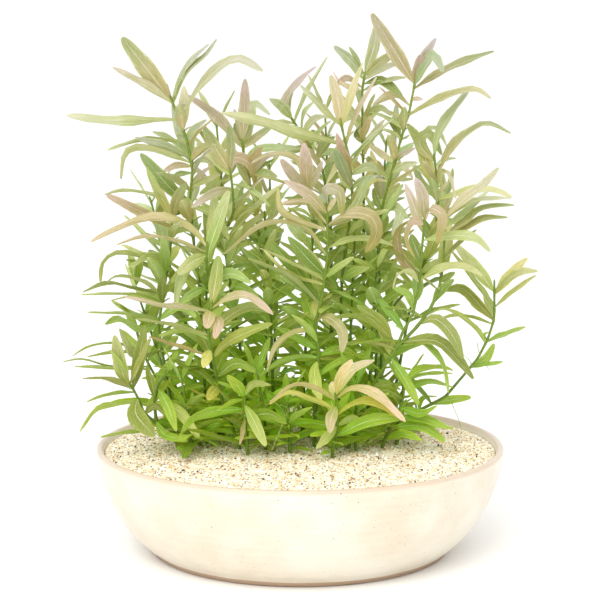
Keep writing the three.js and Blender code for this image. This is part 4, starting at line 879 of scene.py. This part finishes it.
def read_leaf(paths, entry, shoot_number, leaf_number, corners):
    """Knots, width and roll of a leaf that is read by its squares, its tip nearer or farther than its base.

    The depth makes up most of what the seen length lacks of a full leaf. A leaf that shows less width
    than its length asks for is rolled. Without the corners of a solid, it is a finer leaf that leans
    away behind the larger ones."""
    tint, shown, column, row, *numbers = entry
    squares, points = min(paths, key=lambda path: nearest(path[0], column, row)[0])
    stagger = UP * STAGGER * scatter(leaf_number, shoot_number)
    base = on_stem(points, nearest(squares, column, row)[1]) + stagger
    marks = np.array(numbers, float).reshape(-1, 2)
    whole = math.hypot(*(marks[-1] - (column, row)))
    seen = whole * SQUARE
    hidden = math.sqrt(max(FULL_LEAF**2 - seen**2, 0))
    hanging = marks[-1][1] > row + HANGS_BELOW
    nearer = corners is not None and (hanging or scatter(shoot_number, leaf_number) < 0)
    reach = (-1 if nearer else 1) * min(HIDDEN_LEAN * hidden + SEEN_LEAN * seen, MOST_LEAN * seen)
    choices = []
    for swing, length in SWINGS:
        knots = [base]
        for mark in marks:
            share = min(math.hypot(*(mark - (column, row))) / whole, 1)
            knots.append(spot(*mark, base[1] + swing * reach * share))
        if len(knots) == 2:
            knots.insert(1, bowed(*knots, shoot_number + leaf_number))
        knots = base + length * (np.array(knots) - base)
        choices.append({"knots": knots, "reference": AWAY, "tint": tint})
    leaf = choices[0] if corners is None else standing_leaf(choices, corners)
    run = np.linalg.norm(np.diff(through(leaf["knots"], np.linspace(0, 1, 40)), axis=0), axis=1).sum()
    leaf["width"] = max(shown * SQUARE, SLENDERNESS * run)
    leaf["roll"] = -math.acos(min(shown * SQUARE / leaf["width"], 1))
    return leaf


def arching_leaf(base, heading, length, climb, sag, tint, roll):
    """A leaf that leaves its base at a heading, climbs by an angle, and hangs at the tip.

    Heading and climb are in degrees, the sag is a share of the length, and the roll is in radians."""
    climb = math.radians(climb)
    rising = math.cos(climb) * heading_out(heading) + math.sin(climb) * UP
    knots = [base, base + length * (0.5 * rising - 0.15 * sag * UP), base + length * (rising - sag * UP)]
    width = ARCHED_SLENDERNESS * length
    return {"knots": np.array(knots), "reference": UP, "tint": tint, "width": width, "roll": roll}


# Stations along a leaf, and its columns across the upper and the lower side
FULL_GRID = 15, [-1, -0.64, -0.3, 0, 0.3, 0.64, 1], [0.64, 0.3, 0, -0.3, -0.64]
SMALL_GRID = 8, [-1, -0.45, 0, 0.45, 1], [0]

PAIR_STEP = 0.0095
LOWEST_PAIR = 0.004  # above the foot
BARE_TIP = 0.010  # below the bud
TWIN_REACH = 0.005  # between the bases of two leaves that are one
TURNED_FROM = 0.6  # share of the stem from which pairs point to the front and the back
BUDS_FROM = 0.4  # share of the stem from which they have buds
BUD = 0.0045, 0.0035  # length, and what scatter adds
OPEN_LEFT = -0.100
OPEN_RIGHT = 0.056
OPEN_BELOW = 0.155
BARE_FRONT = -0.018
UPPER_FROM = 0.20  # height from which they have the upper tints
UPPER_TINTS = [PALE, OLIVE, GREEN, PINK]


def side_leaves(points, own, number):
    """Leaf pairs at the joints of a stem that the view from the front doesn't tell apart.

    They stand crosswise every PAIR_STEP up the stem, except where a leaf in own grows the same way. High
    on the stem they are shorter and point to the front or the back, and each has a small bud beside it.
    Both low sides stand open, and the front of a stem that stands in front of BARE_FRONT stays bare."""
    whole = np.linalg.norm(np.diff(points, axis=0), axis=1).sum()
    made = []
    for pair in range(int((whole - BARE_TIP) / PAIR_STEP)):
        share = (LOWEST_PAIR + pair * PAIR_STEP) / whole
        base = at_shares(points, [share])[0]
        for side in range(2):
            key = 1000 * number + 2 * pair + side
            heading = 57 * number + 90 * pair + 180 * side + 22 * scatter(key, 21)
            if share > TURNED_FROM:
                heading = 90 + 180 * side + 72 * scatter(key, 22)
            out = heading_out(heading)
            if any(
                np.linalg.norm(leaf["knots"][0] - base) < TWIN_REACH
                and np.dot(unit(leaf["knots"][-1] - leaf["knots"][0]), out) > 0.5
                for leaf in own
            ):
                continue
            length = FULL_LEAF * (0.98 - 0.3 * share**2) * (1 + 0.18 * scatter(key, 23))
            climb = 14 + 38 * share + 16 * scatter(key, 24)
            if not OPEN_LEFT < (base + length * out)[0] < OPEN_RIGHT and base[2] < OPEN_BELOW:
                continue
            if base[1] < BARE_FRONT and out[1] < -0.3:
                continue
            sag = 0.14 + 0.16 * scatter(key, 25)
            tint = UPPER_TINTS[key % 4] if base[2] > UPPER_FROM else (GREEN, DEEP)[key % 3 == 0]
            made.append(arching_leaf(base, heading, length, climb, sag, tint, 0.5 * scatter(key, 26)))
            if share > BUDS_FROM:
                bud = BUD[0] + BUD[1] * abs(scatter(key, 27))
                made.append(arching_leaf(base, heading + 90, bud, 35, 0.1, GREEN, 0.3))
    for leaf in made:
        leaf["grid"] = SMALL_GRID
    return made


FOOT_LEAVES = 13
FOOT_LEAF = 0.013, 0.013  # length, and what scatter adds
FOOT_START = 0.001
FOOT_STEP = 0.0018
GOLDEN_TURN = 137.5
FRONT_SHORTER = 0.8
FRONT_FLATTER = 0.45


def foot_leaves(base, number):
    """Small new leaves that crowd a stem's foot above the sand.

    Each is turned by the golden angle from the one below and sits a little higher. Those at the front
    of a stem that stands in front of BARE_FRONT are shorter and flatter."""
    made = []
    for i in range(FOOT_LEAVES):
        key = 50 * number + i
        length = FOOT_LEAF[0] + FOOT_LEAF[1] * abs(scatter(key, 31))
        climb = 18 + 3 * i + 14 * scatter(key, 32)
        heading = GOLDEN_TURN * i + 40 * number
        if base[1] < BARE_FRONT and heading_out(heading)[1] < -0.3:
            length *= FRONT_SHORTER
            climb *= FRONT_FLATTER
        place = base + (FOOT_START + FOOT_STEP * i) * UP
        tint = (GREEN, DEEP, OLIVE)[key % 3]
        made.append(arching_leaf(place, heading, length, climb, 0.12, tint, 0.6 * scatter(key, 33)))
        made[-1]["grid"] = SMALL_GRID
    return made


LEAF_SKIN = 0.00034  # thickness of the blade at its middle
RIB = 0.0005  # what the midrib adds at the base
BLADE_TWIST = math.radians(14)
BLADE_FOLD = 14, 9  # in degrees, and how far scatter moves it
BLADE_WAVE = 0.09  # height of the wavy edge, as a share of the half width
BLADE_BULGE = 0.10
BLUNTNESS = 0.46, 0.14  # what the bow's power loses up to the tip, and how far scatter moves it
WAVINESS = 0.035


def leaf_outline(share, number):
    """Share of the full width at a share of the length: slender at the base, blunt at the tip.

    It is a sine bow to a power that falls along the leaf, more or less from leaf to leaf, with a slight
    waviness."""
    blunt = BLUNTNESS[0] + BLUNTNESS[1] * scatter(number, 18)
    bow = np.sin(np.pi * share**0.9) ** (0.95 - blunt * share)
    return bow * (1 + WAVINESS * np.sin(2 * np.pi * (2.7 * share + scatter(number, 19))))


def leaf_skin(leaf, number):
    """Corners of a leaf, their places along and across the blade, which lie below, and its triangles.

    Sections stand square to the midrib. A section is a shallow V with bulging halves and a wavy edge,
    thin at the edge and thicker over the rib below. The blade's tilt at the middle is carried to both
    ends by the least turn from the middle direction to the local one."""
    stations, upper, lower = leaf.get("grid", FULL_GRID)
    run = 0.5 - 0.5 * np.cos(np.pi * np.arange(1, stations + 1) / (stations + 1))
    centre = through(leaf["knots"], run)
    along = unit(through(leaf["knots"], run + 0.01) - through(leaf["knots"], run - 0.01))
    middle = unit(np.diff(through(leaf["knots"], [0.49, 0.51]), axis=0)[0])
    flat = unit(np.cross(middle, leaf["reference"]))
    flat = flat * math.cos(leaf["roll"]) + np.cross(middle, flat) * math.sin(leaf["roll"])
    if np.dot(np.cross(middle, flat), UP - AWAY) < 0:
        flat = -flat
    axis = np.cross(middle, along)
    turned = np.cross(axis, flat)
    across = flat + turned + np.cross(axis, turned) / (1 + along @ middle)[:, None]
    face = np.cross(along, across)
    twist = (BLADE_TWIST * scatter(number, 11) * (run - 0.5))[:, None]
    straight = across
    across = straight * np.cos(twist) + face * np.sin(twist)
    face = face * np.cos(twist) - straight * np.sin(twist)
    run = run[:, None]
    half = leaf["width"] / 2 * np.maximum(leaf_outline(run, number), 0.1)
    u = np.array(upper + lower)[None, :]
    fold = math.tan(math.radians(BLADE_FOLD[0] + BLADE_FOLD[1] * scatter(number, 12)))
    phase = 2 * np.pi * (2.2 * run + 0.5 * scatter(number, 13)) + 1.2 * np.sign(u)
    wave = BLADE_WAVE * np.sin(phase) * u**2
    bulge = BLADE_BULGE * (1 - (2 * np.abs(u) - 1) ** 2)
    lift = half * (fold * (np.sqrt(u**2 + 0.02) - 0.14) + wave + bulge)
    skin = LEAF_SKIN * (1 - 0.8 * u**2) + RIB * (1 - 0.8 * run) * np.exp(-((u / 0.2) ** 2))
    lift[:, len(upper):] -= skin[:, len(upper):]
    corners = centre[:, None] + across[:, None] * (half * u)[..., None] + face[:, None] * lift[..., None]
    points = np.concatenate([[leaf["knots"][0]], corners.reshape(-1, 3), [leaf["knots"][-1]]])
    blade = np.stack(np.broadcast_arrays(run, u, scatter(number, 14)), axis=-1).reshape(-1, 3)
    blade = np.concatenate([[[0, 0, blade[0, 2]]], blade, [[1, 0, blade[0, 2]]]])
    below = np.zeros(corners.shape[:2])
    below[:, len(upper):] = 1
    below = np.concatenate([[0], below.ravel(), [0]])
    return points, blade, below, tube_triangles(stations, len(upper + lower))


LOW_TINT = 0.10  # height up to which the low tints are full
HIGH_TINT = 0.24  # height from which the high tints are full
# Band at the top of the thicket whose leaves get painted shade, darker against the stronger light up there
CROWN_FROM = 0.25
CROWN_DEPTH = 0.07
INNER_REACH = 0.05  # distance from the middle from which low leaves turn cooler
OUTER_STEP = 0.05
OUTER_SHIFT = np.array([0.02, -0.03, 0.018])
CROWN_PAINTED_SHADE = 0.18
OWN_TONE = 0.12
OWN_RED = 0.08
OWN_BLUE = 0.13
SMALL_SPREAD = 2.2  # how much more the small leaves vary
UNDERSIDE = np.array([0.66, 0.66, 0.40])
UNDERSIDE_SHARE = 0.3


def leaf_colour(leaf, points, blade, below, number):
    """Colour of each corner: base tint to tip tint, and the low pair of tints to the high pair.

    Low leaves turn cooler far out, the crown is darkened by painted shade against the stronger light it
    gets, undersides are paler, and each leaf has a shade of its own, the small ones more so."""
    (base, tip), (low_base, low_tip) = np.array(leaf["tint"])
    share = np.clip(blade[:, :1] * 1.25 - 0.1, 0, 1)
    height = np.clip((points[:, 2:] - LOW_TINT) / (HIGH_TINT - LOW_TINT), 0, 1)
    crown_shade = np.clip((points[:, 2:] - CROWN_FROM) / CROWN_DEPTH, 0, 1)
    outer = np.clip((np.hypot(points[:, :1], points[:, 1:2]) - INNER_REACH) / OUTER_STEP, 0, 1)
    high_colour = base + (tip - base) * share
    low_colour = low_base + (low_tip - low_base) * share + outer * OUTER_SHIFT
    colour = low_colour + (high_colour - low_colour) * height
    # Painted shade: leaves high in the crown are darkened, as they stand in stronger light than those below
    colour = colour * (0.94 - CROWN_PAINTED_SHADE * crown_shade) * (1 + OWN_TONE * scatter(number, 15))
    spread = SMALL_SPREAD if "grid" in leaf else 1
    red = OWN_RED * spread * scatter(number, 16)
    blue = OWN_BLUE * spread * scatter(number, 17)
    colour = colour * (1 + np.array([red, 0, blue])) * (0.78 + 0.36 * height) ** np.array([0, 0, 1])
    pale = below[:, None] * UNDERSIDE_SHARE * (0.4 + 0.6 * height)
    return np.clip(colour * (1 - pale) + pale * UNDERSIDE, 0, 1)


STEM_SIDES = 8
STEM_STATION = 0.003  # between two rings
STEM_RADIUS = 0.0011
STEM_TIP_RADIUS = 0.0006
STEM_FOOT = 0.001
STEM_TIP = 0.0012
SWELLING = 0.00012  # of the radius where a leaf grows
SWELLING_REACH = 0.0015
BEND = 13  # samples in the sliding mean
STEM_GREEN = np.array([0.13, 0.23, 0.010])
STEM_PALER = np.array([0.07, 0.04, 0.01])
STEM_FADE = 0.26  # height over which the green gets paler


def stem_skin(points, root, knots_at, thickness):
    """Corners of a stem and its number of rings: a tapering tube that swells where a leaf grows.

    Its path is rounded at the bends by a sliding mean, weighted by a raised cosine."""
    dense = at_shares(np.vstack([root, points]), np.linspace(0, 1, 201))
    weights = np.hanning(BEND)[1:-1]
    weights = weights / weights.sum()
    margin = len(weights) // 2
    padded = np.pad(dense, ((margin, margin), (0, 0)), mode="reflect", reflect_type="odd")
    smooth = np.stack([np.convolve(padded[:, k], weights, mode="valid") for k in range(3)], axis=-1)
    length = np.linalg.norm(np.diff(dense, axis=0), axis=1).sum()
    run = np.linspace(0, 1, max(12, int(length / STEM_STATION)))
    centre = at_shares(smooth, run)
    along = unit(np.gradient(centre, axis=0))
    side = unit(np.cross(AWAY, along))
    back = np.cross(along, side)
    radius = STEM_RADIUS + (STEM_TIP_RADIUS - STEM_RADIUS) * run
    for knot in knots_at:
        distance = np.linalg.norm(centre - knot, axis=1)
        radius = radius + SWELLING * np.exp(-((distance / SWELLING_REACH) ** 2))
    radius = thickness * radius
    angle = np.arange(STEM_SIDES) * 2 * math.pi / STEM_SIDES
    ring = np.cos(angle)[None, :, None] * side[:, None] + np.sin(angle)[None, :, None] * back[:, None]
    corners = centre[:, None] + radius[:, None, None] * ring
    ends = [centre[0] - along[0] * STEM_FOOT], [centre[-1] + along[-1] * STEM_TIP]
    return np.concatenate([ends[0], corners.reshape(-1, 3), ends[1]]), len(run)


BLADE_DARK = (0.72, 0.80, 0.58)
BLADE_LIGHT = (1.30, 1.18, 1.60)
BLADE_EDGE = (0.82, 0.66, 0.50)
# Tint of the painted glow: painted light that stands in for light passing through the leaves
BLADE_PAINTED_GLOW = (1, 1, 0.35)
VEIN = (0.80, 0.84, 0.52)
MIDRIB = (0.84, 0.86, 0.60)
STALK_SHADE = (0.09, 0.14, 0.008)

tissue, shader, start = new_material("leaf_blade", {
    # Painted light: the blade emits a share of its tint, which lifts the shade inside the thicket
    "Emission Strength": 0.35,
    "Specular IOR Level": 0.22,
    "Subsurface Weight": 0.35,
    "Subsurface Radius": (0.9, 1.0, 0.5),
    "Subsurface Scale": 0.0008,
})
tint = start.painted("tint")
blade = start.painted("blade", "Vector")
run = blade.part("X")
out = abs(blade.part("Y"))
leaf_id = blade.part("Z")
flow = start.node("CombineXYZ", {}, {0: run * 7, 1: out * 9, 2: leaf_id * 50})
streak = start.noise(1.0, 3, flow)
fine = start.noise(900, 3)
broad = start.noise(140, 2)
rib = 1 - (out + run * 0.04).ramped(0.02, 0.08)
slant = run * 11 - out * 1.5 + fine * 0.35
veins = (1 - start.math("PINGPONG", slant, 0.5).ramped(0.02, 0.16)) * (1 - out * 0.8)
edge = out.ramped(0.84, 1.0)
colour = streak.ramped(0.30, 0.70).mixed(tint.tinted(BLADE_DARK), tint.tinted(BLADE_LIGHT))
colour = (broad.ramped(0.35, 0.7) * 0.3 + fine.ramped(0.35, 0.65) * 0.25).mixed(colour, tint)
colour = (edge * 0.4).mixed(colour, tint.tinted(BLADE_EDGE))
colour = (veins * 0.08).mixed(colour, VEIN)
colour = (rib * 0.55).mixed(colour, MIDRIB)
feed(shader, "Base Color", colour)
feed(shader, "Roughness", 0.42 + 0.2 * fine)
feed(shader, "Normal", (fine * 0.35 + veins * 0.25 + rib * 0.6 + streak * 0.3).bump(0.35, 0.0003))
# Painted light: the blade glows with its own tint, a stand-in for light through the leaves that brightens
# the shaded interior
feed(shader, "Emission Color", tint.tinted(BLADE_PAINTED_GLOW))

stalk, shader, start = new_material("stem_skin", {
    "Subsurface Weight": 0.3,
    "Subsurface Radius": (0.9, 1.0, 0.35),
    "Subsurface Scale": 0.0012,
})
tint = start.painted("tint")
streak = start.noise(500, 3)
feed(shader, "Base Color", (streak.ramped(0.35, 0.65) * 0.5).mixed(tint, STALK_SHADE))
feed(shader, "Roughness", 0.4 + 0.2 * streak)
feed(shader, "Normal", streak.bump(0.3, 0.0004))


def grown(name, stems, leaves, number, slot):
    """One shoot as one piece: its stems, then its leaves, with tints and blade places on their corners.

    A stem's corners have 1 as their place along the blade, and the edges of the blades stay sharp."""
    parts = []
    for root, path, thickness in stems:
        skin, rings = stem_skin(path, root, [leaf["knots"][0] for leaf in leaves], thickness)
        tint = STEM_GREEN + np.clip((skin[:, 2:] - SAND_TOP) / STEM_FADE, 0, 1) * STEM_PALER
        if thickness != 1:
            tint = np.full(skin.shape, THREAD_TINT)
        parts.append((skin, tint, np.ones_like(skin), tube_triangles(rings, STEM_SIDES), 1))
    for i, leaf in enumerate(leaves):
        own = 100 * number + i
        skin, blade, below, faces = leaf_skin(leaf, own)
        parts.append((skin, leaf_colour(leaf, skin, blade, below, own), blade, faces, 0))
    skins, tints, blades, faces, materials = zip(*parts)
    before = np.cumsum([0] + [len(skin) for skin in skins])
    triangles = [corners + count for corners, count in zip(faces, before)]
    piece = new_piece(name + "_shoot", np.concatenate(skins), np.concatenate(triangles), tissue, stalk)
    paint(piece, "tint", np.concatenate(tints))
    blades = np.concatenate(blades)
    piece.data.attributes.new("blade", "FLOAT_VECTOR", "POINT").data.foreach_set("vector", blades.ravel())
    materials = np.repeat(materials, [len(corners) for corners in faces])
    piece.data.polygons.foreach_set("material_index", materials)
    ends = np.empty(2 * len(piece.data.edges), int)
    piece.data.edges.foreach_get("vertices", ends)
    rim = (np.abs(blades[:, 1]) > 0.99) & (blades[:, 0] != 1)
    sharp = rim[ends].reshape(-1, 2).all(axis=1)
    piece.data.attributes.new("sharp_edge", "BOOLEAN", "EDGE").data.foreach_set("value", sharp)
    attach(piece, "root")
    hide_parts(name)


def solid_corners(name):
    """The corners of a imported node."""
    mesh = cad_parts[name].data
    corners = np.empty(3 * len(mesh.vertices), np.float32)
    mesh.vertices.foreach_get("co", corners)
    return corners.reshape(-1, 3)


for number, (name, shoot) in enumerate(SHOOTS.items()):
    squares, points = stem_path(shoot["stem"], shoot["depth"])
    points[0, 2] = sand_height(*points[0, :2]) + COLLAR
    stems = [(points[0] - ROOTED * UP, points, 1)]
    paths = [(squares, points)]
    if "fork" in shoot:
        joint = 1000 * on_stem(points, nearest(squares, *shoot["fork"][:2])[1])[1]
        lean = FORK_LEAN * (shoot["depth"][1] - shoot["depth"][0])
        squares, branch = stem_path(shoot["fork"], [joint, joint + lean])
        first = branch[0].copy()
        branch[0] += FORK_COLLAR * (branch[1] - first)
        paths.append((squares, branch))
        stems.append((first, branch, 1))
    for depth, thickness, numbers in THREADS.get(name, []):
        thread = stem_path(numbers, [depth, depth])[1]
        stems.append((thread[0], thread[1:], thickness))
    corners = solid_corners(name)
    leaves = [read_leaf(paths, entry, number, i, corners) for i, entry in enumerate(shoot["leaves"])]
    fine = FINE_LEAVES.get(name, [])
    leaves += [read_leaf(paths, entry, number, FIRST_FINE + i, None) for i, entry in enumerate(fine)]
    for fork, (_, points) in enumerate(paths):
        leaves += side_leaves(points, leaves, 2 * number + fork)
    leaves += foot_leaves(paths[0][1][0], number)
    grown(name, stems, leaves, number, "upper_leaf" if name in UPPER_SHOOTS else "lower_leaf")

# Fillers: plainer green shoots of the same soft tissue, grown as one piece and rooted like the others.
# They fill the thicket where the front view tells no shoot apart, and its back.

# Foot across and away from the middle, top across, away and above the sand, in millimetres, number of
# leaf pairs, and turn of the lowest pair in degrees
FILLERS = {
    "filler_back_far_left": [(-62, 26), (-96, 44, 148), 5, 20],
    "filler_back_left": [(-40, 34), (-54, 60, 196), 6, 65],
    "filler_back_mid_left": [(-15, 38), (-20, 66, 168), 5, 10],
    "filler_back_mid_right": [(22, 40), (16, 62, 206), 6, 40],
    "filler_back_right": [(44, 36), (56, 62, 184), 6, 75],
    "filler_back_far_right": [(57, 34), (94, 46, 150), 4, 5],
    "filler_right": [(42, 20), (52, 42, 92), 4, 50],
    "filler_left": [(-78, 8), (-104, 16, 96), 4, 30],
    "filler_mid_left": [(-58, -8), (-62, -14, 104), 5, 55],
    "filler_mid": [(-16, 4), (-22, 6, 142), 5, 25],
    "filler_mid_right": [(30, 2), (34, 4, 128), 5, 70],
    "filler_inner_right": [(42, 0), (50, -2, 138), 5, 15],
    "filler_low_left": [(-66, -28), (-72, -31, 44), 3, 35],
    "filler_low_mid_left": [(-20, -30), (-26, -36, 50), 3, 60],
    "filler_low_mid": [(-6, -38), (-8, -42, 32), 3, 20],
    "filler_low_mid_right": [(34, -28), (34, -32, 40), 3, 45],
    "filler_low_right": [(60, -10), (64, -8, 36), 2, 80],
}
FILLER_BOW = 0.15  # share of its lean by which a stem bows out
FILLER_SLENDERNESS = 0.21
LOWEST_SHARE = 0.2  # of the stem below the lowest pair of leaves
HIGHEST_SHARE = 0.98  # of the stem below the highest pair
FIRST_NUMBER = 30  # number of the first filler, after the shoots


def filler_leaf(points, share, heading, shoot_number, leaf_number, corners):
    """A leaf of a plain shoot: the higher it grows, the shorter, steeper and straighter it is."""
    base = on_stem(points, share * (len(points) - 1)) + UP * STAGGER * scatter(leaf_number, shoot_number)
    length = FULL_LEAF * (1 - 0.35 * share**3) * (1 + 0.12 * scatter(shoot_number, leaf_number))
    climb = 18 + 42 * share**2
    sag = 0.22 * (1 - share)
    roll = 0.5 * scatter(leaf_number, shoot_number)
    choices = [
        arching_leaf(base, heading + 30 * (1 - swing), shorter * length, climb, sag, GREEN, roll)
        for swing, shorter in SWINGS
    ]
    return {**standing_leaf(choices, corners), "width": FILLER_SLENDERNESS * length}


for i, (name, (foot, top, pairs, turn)) in enumerate(FILLERS.items()):
    number = FIRST_NUMBER + i
    across, away = 0.001 * np.array(foot)
    start = np.array([across, away, sand_height(across, away)])
    end = 0.001 * np.array(top) + SAND_TOP * UP
    middle = (start + end) / 2 + FILLER_BOW * (start - end) * (1, 1, 0)
    path = np.array([start, middle, end])
    corners = solid_corners(name)
    leaves = []
    for pair in range(pairs):
        share = LOWEST_SHARE + (HIGHEST_SHARE - LOWEST_SHARE) * pair / (pairs - 1)
        for side in range(2):
            heading = turn + 90 * pair + 180 * side + 14 * scatter(i, pair)
            leaves.append(filler_leaf(path, share, heading, number, 2 * pair + side, corners))
    collared = np.array([start + COLLAR * UP, middle, end])
    leaves += side_leaves(collared, leaves, number + FIRST_NUMBER)
    leaves += foot_leaves(collared[0], number)
    grown(name, [(start - ROOTED * UP, collared, 1)], leaves, number, "lower_leaf")

# Studio: a plain pale floor that rises far out in a round sweep, soft white light from all round and a
# large soft lamp at the upper left that looks at the plant's middle. The camera stands where the eye of
# the ruled view stands.

FRAME_WIDTH = 0.372  # what the camera shows across, at the plant
FLOOR_FACETS = 96
FLOOR_PROFILE = [
    [0, -0.06], [4.0, -0.06], [4.6, 0.1], [5.0, 0.5], [5.1, 1.1], [5.05, 1.1], [4.95, 0.55], [4.55, 0.15],
    [4.0, 0], [0, 0],
]
PAPER = (0.89, 0.89, 0.88), (0.92, 0.92, 0.91)
SKY = 1.2
LAMP_PLACE = (-0.5, -1.4, 1.4)
LAMP_SIZE = 1.2
LAMP_POWER = 22

paper, shader, start = new_material("pale_floor", {"Roughness": 0.9})
feed(shader, "Base Color", start.noise(3, 2).mixed(*PAPER))
floor_triangles = tube_triangles(len(FLOOR_PROFILE) - 2, FLOOR_FACETS)
floor = new_piece("floor", lathe(FLOOR_PROFILE, FLOOR_FACETS), floor_triangles, paper)

world = bpy.data.worlds.new("studio_air")
bpy.context.scene.world = world
world.use_nodes = True
world.node_tree.nodes["Background"].inputs["Color"].default_value = (1.0, 1.0, 1.0, 1.0)
world.node_tree.nodes["Background"].inputs["Strength"].default_value = SKY

light = bpy.data.lights.new("key", "AREA")
light.size = LAMP_SIZE
light.energy = LAMP_POWER
lamp = bpy.data.objects.new("key", light)
bpy.context.scene.collection.objects.link(lamp)
lamp.location = LAMP_PLACE
across, away, up = np.array([0, 0, EYE_AIM]) - LAMP_PLACE
lamp_tilt = math.pi / 2 - math.atan2(-up, math.hypot(across, away))
lamp.rotation_euler = (lamp_tilt, 0, math.atan2(away, across) - math.pi / 2)

view = bpy.data.cameras.new("camera")
view.lens = view.sensor_width * EYE_DISTANCE / FRAME_WIDTH
camera = bpy.data.objects.new("camera", view)
bpy.context.scene.collection.objects.link(camera)
camera.location = (0, -EYE_DISTANCE * math.cos(EYE_TILT), EYE_AIM + EYE_DISTANCE * math.sin(EYE_TILT))
camera.rotation_euler = (math.pi / 2 - EYE_TILT, 0, 0)
bpy.context.scene.camera = camera
bpy.context.scene.view_settings.view_transform = "Standard"
